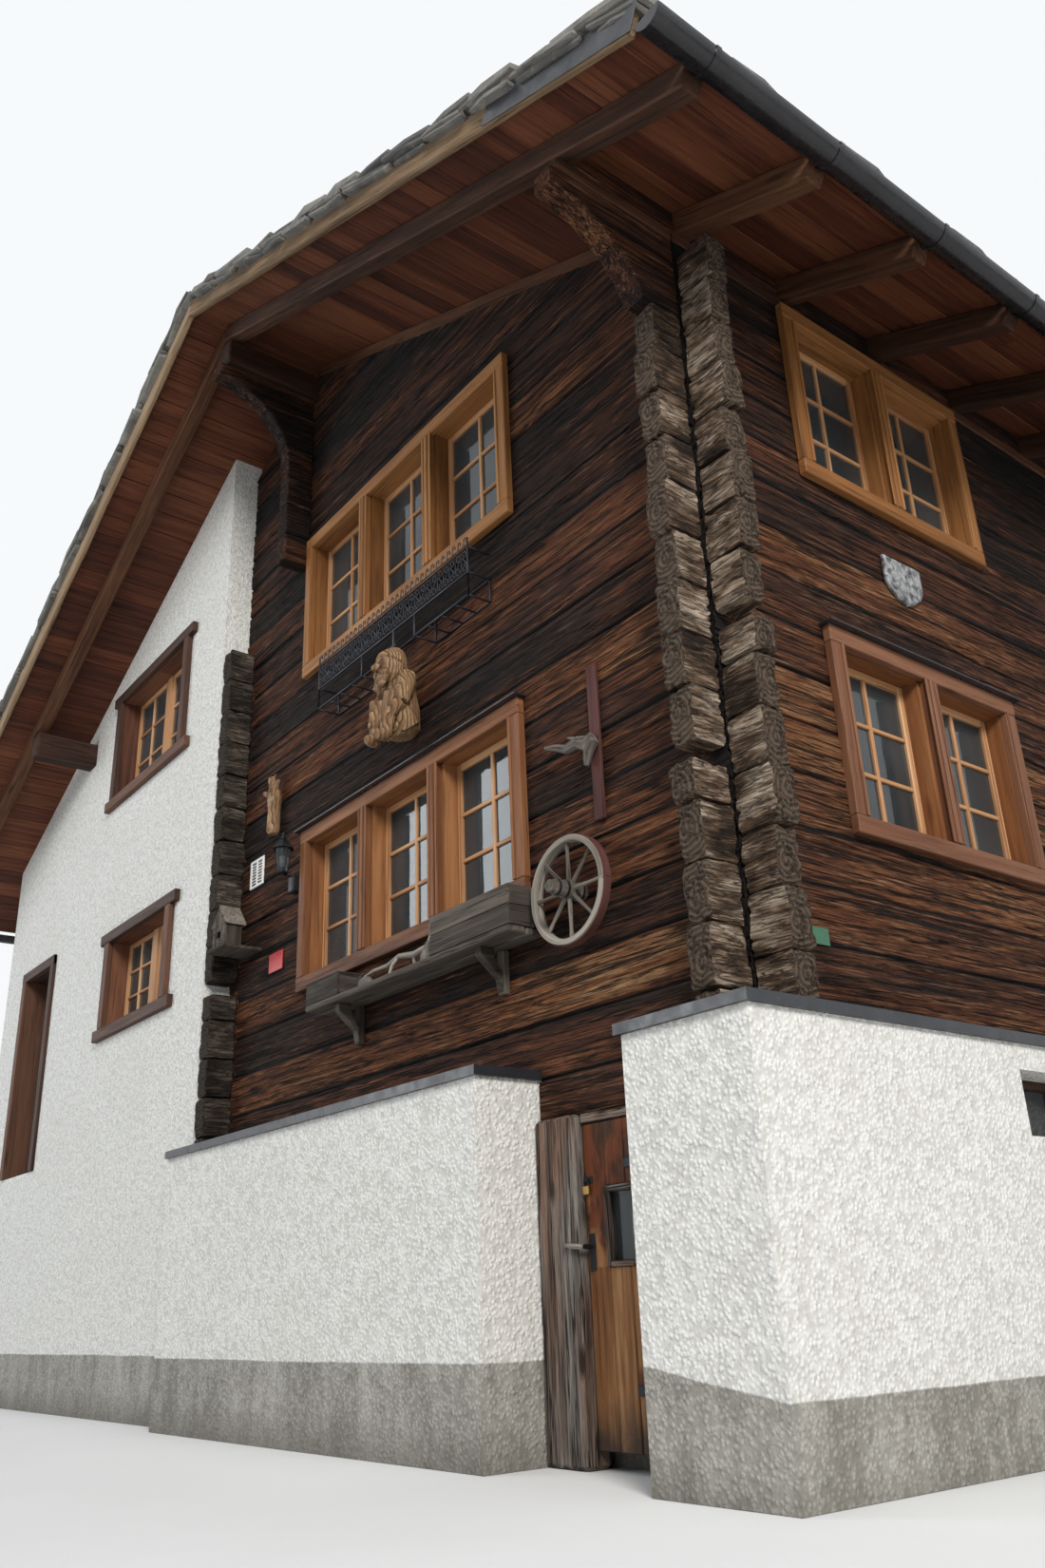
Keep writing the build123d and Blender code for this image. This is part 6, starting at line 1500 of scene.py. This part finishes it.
SEATED_SIDE = (
    ((0.045, 0.255, 0.575, 0.018), (0.025, 0.272, 0.572, 0.016), (0.008, 0.278, 0.565, 0.010)),
    ((0.012, 0.275, 0.510, 0.016), (0.045, 0.272, 0.492, 0.018), (0.075, 0.252, 0.478, 0.010)),
    ((0.085, 0.12, 0.475, 0.060), (0.118, 0.15, 0.40, 0.062), (0.138, 0.185, 0.30, 0.052),
     (0.142, 0.20, 0.25, 0.046)),
    ((0.142, 0.20, 0.255, 0.044), (0.110, 0.235, 0.21, 0.040), (0.075, 0.262, 0.165, 0.036),
     (0.058, 0.282, 0.140, 0.033), (0.052, 0.292, 0.125, 0.018)),
    ((0.075, 0.09, 0.13, 0.070), (0.082, 0.15, 0.20, 0.066), (0.088, 0.215, 0.285, 0.058),
     (0.086, 0.245, 0.31, 0.050), (0.084, 0.262, 0.315, 0.03)),
    ((0.086, 0.232, 0.325, 0.050), (0.076, 0.243, 0.22, 0.048), (0.066, 0.255, 0.10, 0.040),
     (0.060, 0.262, 0.03, 0.038)),
    ((0.058, 0.245, 0.035, 0.036), (0.058, 0.285, 0.040, 0.042), (0.058, 0.318, 0.032, 0.034),
     (0.058, 0.332, 0.024, 0.018)),
)
BEARD = [
    ((x, 0.262 - 0.3 * abs(x), 0.500, 0.016), (0.9 * x, 0.276 - 0.3 * abs(x), 0.44, 0.019),
     (0.65 * x, 0.282, 0.385, 0.015), (0.3 * x, 0.276, 0.335 + 0.6 * abs(x), 0.006))
    for x in np.linspace(-0.054, 0.054, 7)
]
# Trunk, neck and two branches, then one ear
CREATURE = (
    ((-0.005, 0.058, 0.003, 0.038), (-0.005, 0.060, 0.03, 0.050), (0, 0.060, 0.18, 0.046),
     (0.004, 0.062, 0.28, 0.055), (0, 0.064, 0.35, 0.050)),
    ((0, 0.064, 0.33, 0.046), (-0.008, 0.070, 0.40, 0.036), (-0.020, 0.080, 0.445, 0.032),
     (-0.028, 0.090, 0.462, 0.014)),
    ((-0.02, 0.062, 0.30, 0.026), (-0.060, 0.075, 0.325, 0.022), (-0.095, 0.095, 0.352, 0.018),
     (-0.108, 0.100, 0.362, 0.008)),
    ((0.02, 0.062, 0.345, 0.024), (0.060, 0.070, 0.375, 0.018), (0.098, 0.080, 0.402, 0.010)),
)
CREATURE_EAR = (((0.018, 0.074, 0.44, 0.012), (0.026, 0.070, 0.468, 0.010), (0.030, 0.068, 0.482, 0.004)),)
figure, creature = Pile(111), Pile(112)
for limbs, sides in ((SEATED_MIDDLE, (1,)), (SEATED_SIDE, (-1, 1)), (BEARD, (1,))):
    carve(figure, 2.6, 3.925, limbs, 1.04, sides)
seated = fused(figure, 0.0055, 111)
seated.piece("seated_carved_figure", "carved", "carved_wood", ["wall_carvings"], smooth=True)
carve(creature, 0.745, 3.955, CREATURE)
carve(creature, 0.733, 3.955, CREATURE_EAR, sides=(-1, 1))
fused(creature, 0.005, 112).piece("carved_creature", "carved", "carved_wood", smooth=True)

# Lantern, vent, nest box and plates

lantern, lantern_glass, bulb, vent = (Pile(113 + i) for i in range(4))
LX, LY = 1.070, -4.485


def hung(pile, low, high, radii, sides):
    """Round part of the lantern between two heights."""
    turned(pile, (LX, LY, low), (LX, LY, high), radii, sides)


hung(lantern, 3.541, 3.553, [(0, 0.036), (0.5, 0.043), (1, 0.043)], 6)
hood = [(0, 0.062), (0.03, 0.084), (0.12, 0.084), (0.55, 0.048), (0.85, 0.026), (0.9, 0.030), (1, 0.020)]
hung(lantern, 3.722, 3.804, hood, 6)
hung(lantern, 3.804, 3.853, [(0, 0.012), (0.3, 0.018), (0.5, 0.009), (0.7, 0.012), (1, 0.005)], 10)
for i in range(6):
    c, s = cos(pi / 3 * i), sin(pi / 3 * i)
    foot, head = (LX + 0.040 * c, LY + 0.040 * s, 3.550), (LX + 0.062 * c, LY + 0.062 * s, 3.727)
    rod(lantern, [foot, head], 0.0035, 5)
hung(lantern, 3.553, 3.585, [(0, 0.014), (1, 0.013)], 10)
lantern.block((1.032, -4.419, 3.412), (1.108, -4.352, 3.538), 2, bevel=0.010)
arm = [(-4.415, 3.532), (-4.44, 3.531), (-4.470, 3.532), (-4.486, 3.540)]
rod(lantern, [(LX, y, z) for y, z in arm], 0.008, 8)
lantern.piece("wrought_lantern", "iron", "iron", ["wall_lantern"])
hung(lantern_glass, 3.555, 3.722, [(0, 0.036), (1, 0.057)], 6)
lantern_glass.piece("lantern_panes", "glass", "window_glass")
hung(bulb, 3.588, 3.672, [(0, 0.012), (0.25, 0.024), (0.55, 0.029), (0.85, 0.020), (1, 0.006)], 14)

for a, b in ((0.2835, 0.310), (0.480, 0.5065)):
    front.board(vent, a, b, 3.653, 3.877, 0.0, 0.0115, 1, bevel=0.003)
front.board(vent, 0.384, 0.406, 3.670, 3.860, 0.0, 0.0105, 1, bevel=0.002)
for c, d in ((3.653, 3.676), (3.854, 3.877)):
    front.board(vent, 0.310, 0.480, c, d, 0.0, 0.0115, 0, bevel=0.003)
for k in range(7):
    z = 3.6897 + k * 0.0234
    for a, b in ((0.310, 0.384), (0.406, 0.480)):
        front.board(vent, a, b, z, z + 0.0097, 0.0, 0.0105, 0, bevel=0.002)
vent.piece("louvred_vent", "enamel", "plaque_metal", ["vent_grille"])
bulb.piece("lantern_bulb", "enamel", "window_glass")

nest, nest_roof, red_sign, green_plate, shield = (Pile(117 + i) for i in range(5))
NEST_FOOT, NEST_MIDDLE, NEST_HOLE = 3.151, 0.39, (3.214, 3.266)
nest.block((0.246, -4.659, 3.1235), (0.534, -4.352, 3.149), 0, bevel=0.005, step=0.1, wobble=0.002)
for x in (0.291, 0.472):
    nest.block((x, -4.618, 3.1505), (x + 0.017, -4.500, 3.332), 2, bevel=0.003)
for i in range(6):
    a = 0.2915 + i * 0.0328
    b = a + 0.0328 - 0.0012
    spans = [(NEST_FOOT, None)]
    if a < 0.416 and b > 0.364:
        spans = [(NEST_FOOT, NEST_HOLE[0]), (NEST_HOLE[1], None)]
    for low, high in spans:
        tops = [high or min(3.33 + 0.12 * (1 - abs(x - NEST_MIDDLE) / 0.1), 3.446) for x in (b, a)]
        outline = [(a, low), (b, low), (b, tops[0]), (a, tops[1])]
        prism(nest, outline, (0, -4.619, 0), (1, 0, 0), 0.018, bevel=0.002)
nest.block((0.292, -4.516, 3.151), (0.488, -4.499, 3.325), 2, bevel=0.003)
for s in (-1, 1):
    eave = NEST_MIDDLE + s * 0.1215
    outline = [(NEST_MIDDLE, 3.4505), (NEST_MIDDLE, 3.4675), (eave, 3.3205), (eave, 3.3045)]
    prism(nest_roof, outline, (0, -4.478, 0), (1, 0, 0), 0.161, bevel=0.002)
nest.piece("nest_box_walls", "dark_grey", "grey_wood", ["nest_box"])
nest_roof.piece("nest_box_roof", "spokes", "grey_wood")

front.board(red_sign, 0.661, 0.867, 2.921, 3.059, 0.0, 0.0075, 0, bevel=0.002)
right.board(green_plate, -3.980, -3.820, 2.107, 2.189, 0.0, 0.0075, 0, bevel=0.002)
mid, half_width, top, shoulder = -2.730, 0.168, 4.523, 4.378
outline = [(mid - half_width, top), (mid + half_width, top), (mid + half_width, shoulder)]
for s, steps in ((1, np.linspace(0.15, 1, 8)), (-1, np.linspace(0.9, 0.15, 6))):
    outline += [(mid + s * half_width * (1 - t ** 2.2), shoulder - 0.143 * t) for t in steps]
outline += [(mid - half_width, shoulder)]
prism(shield, outline, (RIGHT + 0.001, 0, 0), (0, 1, 0), 0.033, bevel=0.010, roughen=0.001)
red_sign.piece("bare_red_sign", "red_enamel", "plaque_metal", ["wall_plates"])
green_plate.piece("bare_green_plate", "green_enamel", "plaque_metal")
shield.piece("plain_shield", "cast", "plaque_metal")

# Floor, light and camera

FLOOR_HALF, FLOOR_PARTS, FLOOR_COLOUR = 60.0, 12, (0.80, 0.80, 0.79)
m = Nodes("studio_floor", roughness=0.95, specular=0.1)
at = m.coords("Object")
tint = m.ramp(m.noise(at, 0.8, 4.0), (0.3, tuple(0.97 * c for c in FLOOR_COLOUR)), (0.7, FLOOR_COLOUR))
grid = np.linspace(-FLOOR_HALF, FLOOR_HALF, FLOOR_PARTS + 1)
mesh = bpy.data.meshes.new("studio_floor")
quads = grid_quads(FLOOR_PARTS + 1, FLOOR_PARTS + 1).reshape(-1, 4)
mesh.from_pydata([(x, y, -0.002) for x in grid for y in grid], [], quads.tolist())
mesh.materials.append(m.finish(tint, None, m.bump(m.noise(at, 60.0, 3.0), 0.001)))
floor = bpy.data.objects.new("studio_floor", mesh)
bpy.context.scene.collection.objects.link(floor)

world = bpy.data.worlds.new("studio")
bpy.context.scene.world = world
world.use_nodes = True
tree = world.node_tree


def sky(node, colour, strength):
    """Background node with one colour."""
    node.inputs["Color"].default_value = (*colour, 1)
    node.inputs["Strength"].default_value = strength
    return node.outputs[0]


def greater(a, b):
    """Larger of two values."""
    node = tree.nodes.new("ShaderNodeMath")
    node.operation = "MAXIMUM"
    tree.links.new(a, node.inputs[0])
    tree.links.new(b, node.inputs[1])
    return node.outputs[0]


rays = tree.nodes.new("ShaderNodeLightPath").outputs
blend = tree.nodes.new("ShaderNodeMixShader")
direct = greater(rays["Is Camera Ray"], greater(rays["Is Glossy Ray"], rays["Is Transmission Ray"]))
lighting = sky(tree.nodes["Background"], (0.80, 0.85, 0.92), 0.52)
seen = sky(tree.nodes.new("ShaderNodeBackground"), (0.93, 0.95, 0.97), 1.0)
for socket, value in zip(blend.inputs, (direct, lighting, seen)):
    tree.links.new(value, socket)
tree.links.new(blend.outputs[0], tree.nodes["World Output"].inputs["Surface"])


def lamp(name, position, target, size, power, colour=(1, 1, 1)):
    """Round area lamp that points at the target."""
    data = bpy.data.lights.new(name, "AREA")
    data.shape, data.size, data.energy, data.color = "DISK", size, power, colour
    obj = bpy.data.objects.new(name, data)
    obj.location = position
    obj.rotation_euler = (Vector(target) - Vector(position)).to_track_quat("-Z", "Y").to_euler()
    bpy.context.scene.collection.objects.link(obj)


lamp("key", (21.5, -14.0, 13.5), (0, 0, 3.5), 7.0, 4900, (1.0, 0.975, 0.94))
lamp("fill", (-14.0, -20.0, 9.0), (0, 0, 3.0), 12.0, 1500, (0.92, 0.96, 1.0))
lamp("back", (-8.0, 22.0, 15.0), (0, 0, 4.0), 12.0, 2600)

# The camera's place and axes, solved from the photo's vanishing points
camera_data = bpy.data.cameras.new("photo_view")
camera_data.lens, camera_data.sensor_width, camera_data.clip_end = 28.37, 36.0, 400.0
camera = bpy.data.objects.new("photo_view", camera_data)
right_axis, up_axis = Vector((0.6062, 0.7944, -0.0371)), Vector((0.3289, -0.2080, 0.9212))
back_axis = Vector((0.7241, -0.5706, -0.3874))
pose = Matrix((right_axis, up_axis, back_axis)).transposed().to_4x4()
pose.translation = (8.637, -8.253, 0.676)
camera.matrix_world = pose
bpy.context.scene.collection.objects.link(camera)
bpy.context.scene.camera = camera
bpy.context.scene.view_settings.view_transform = "Standard"
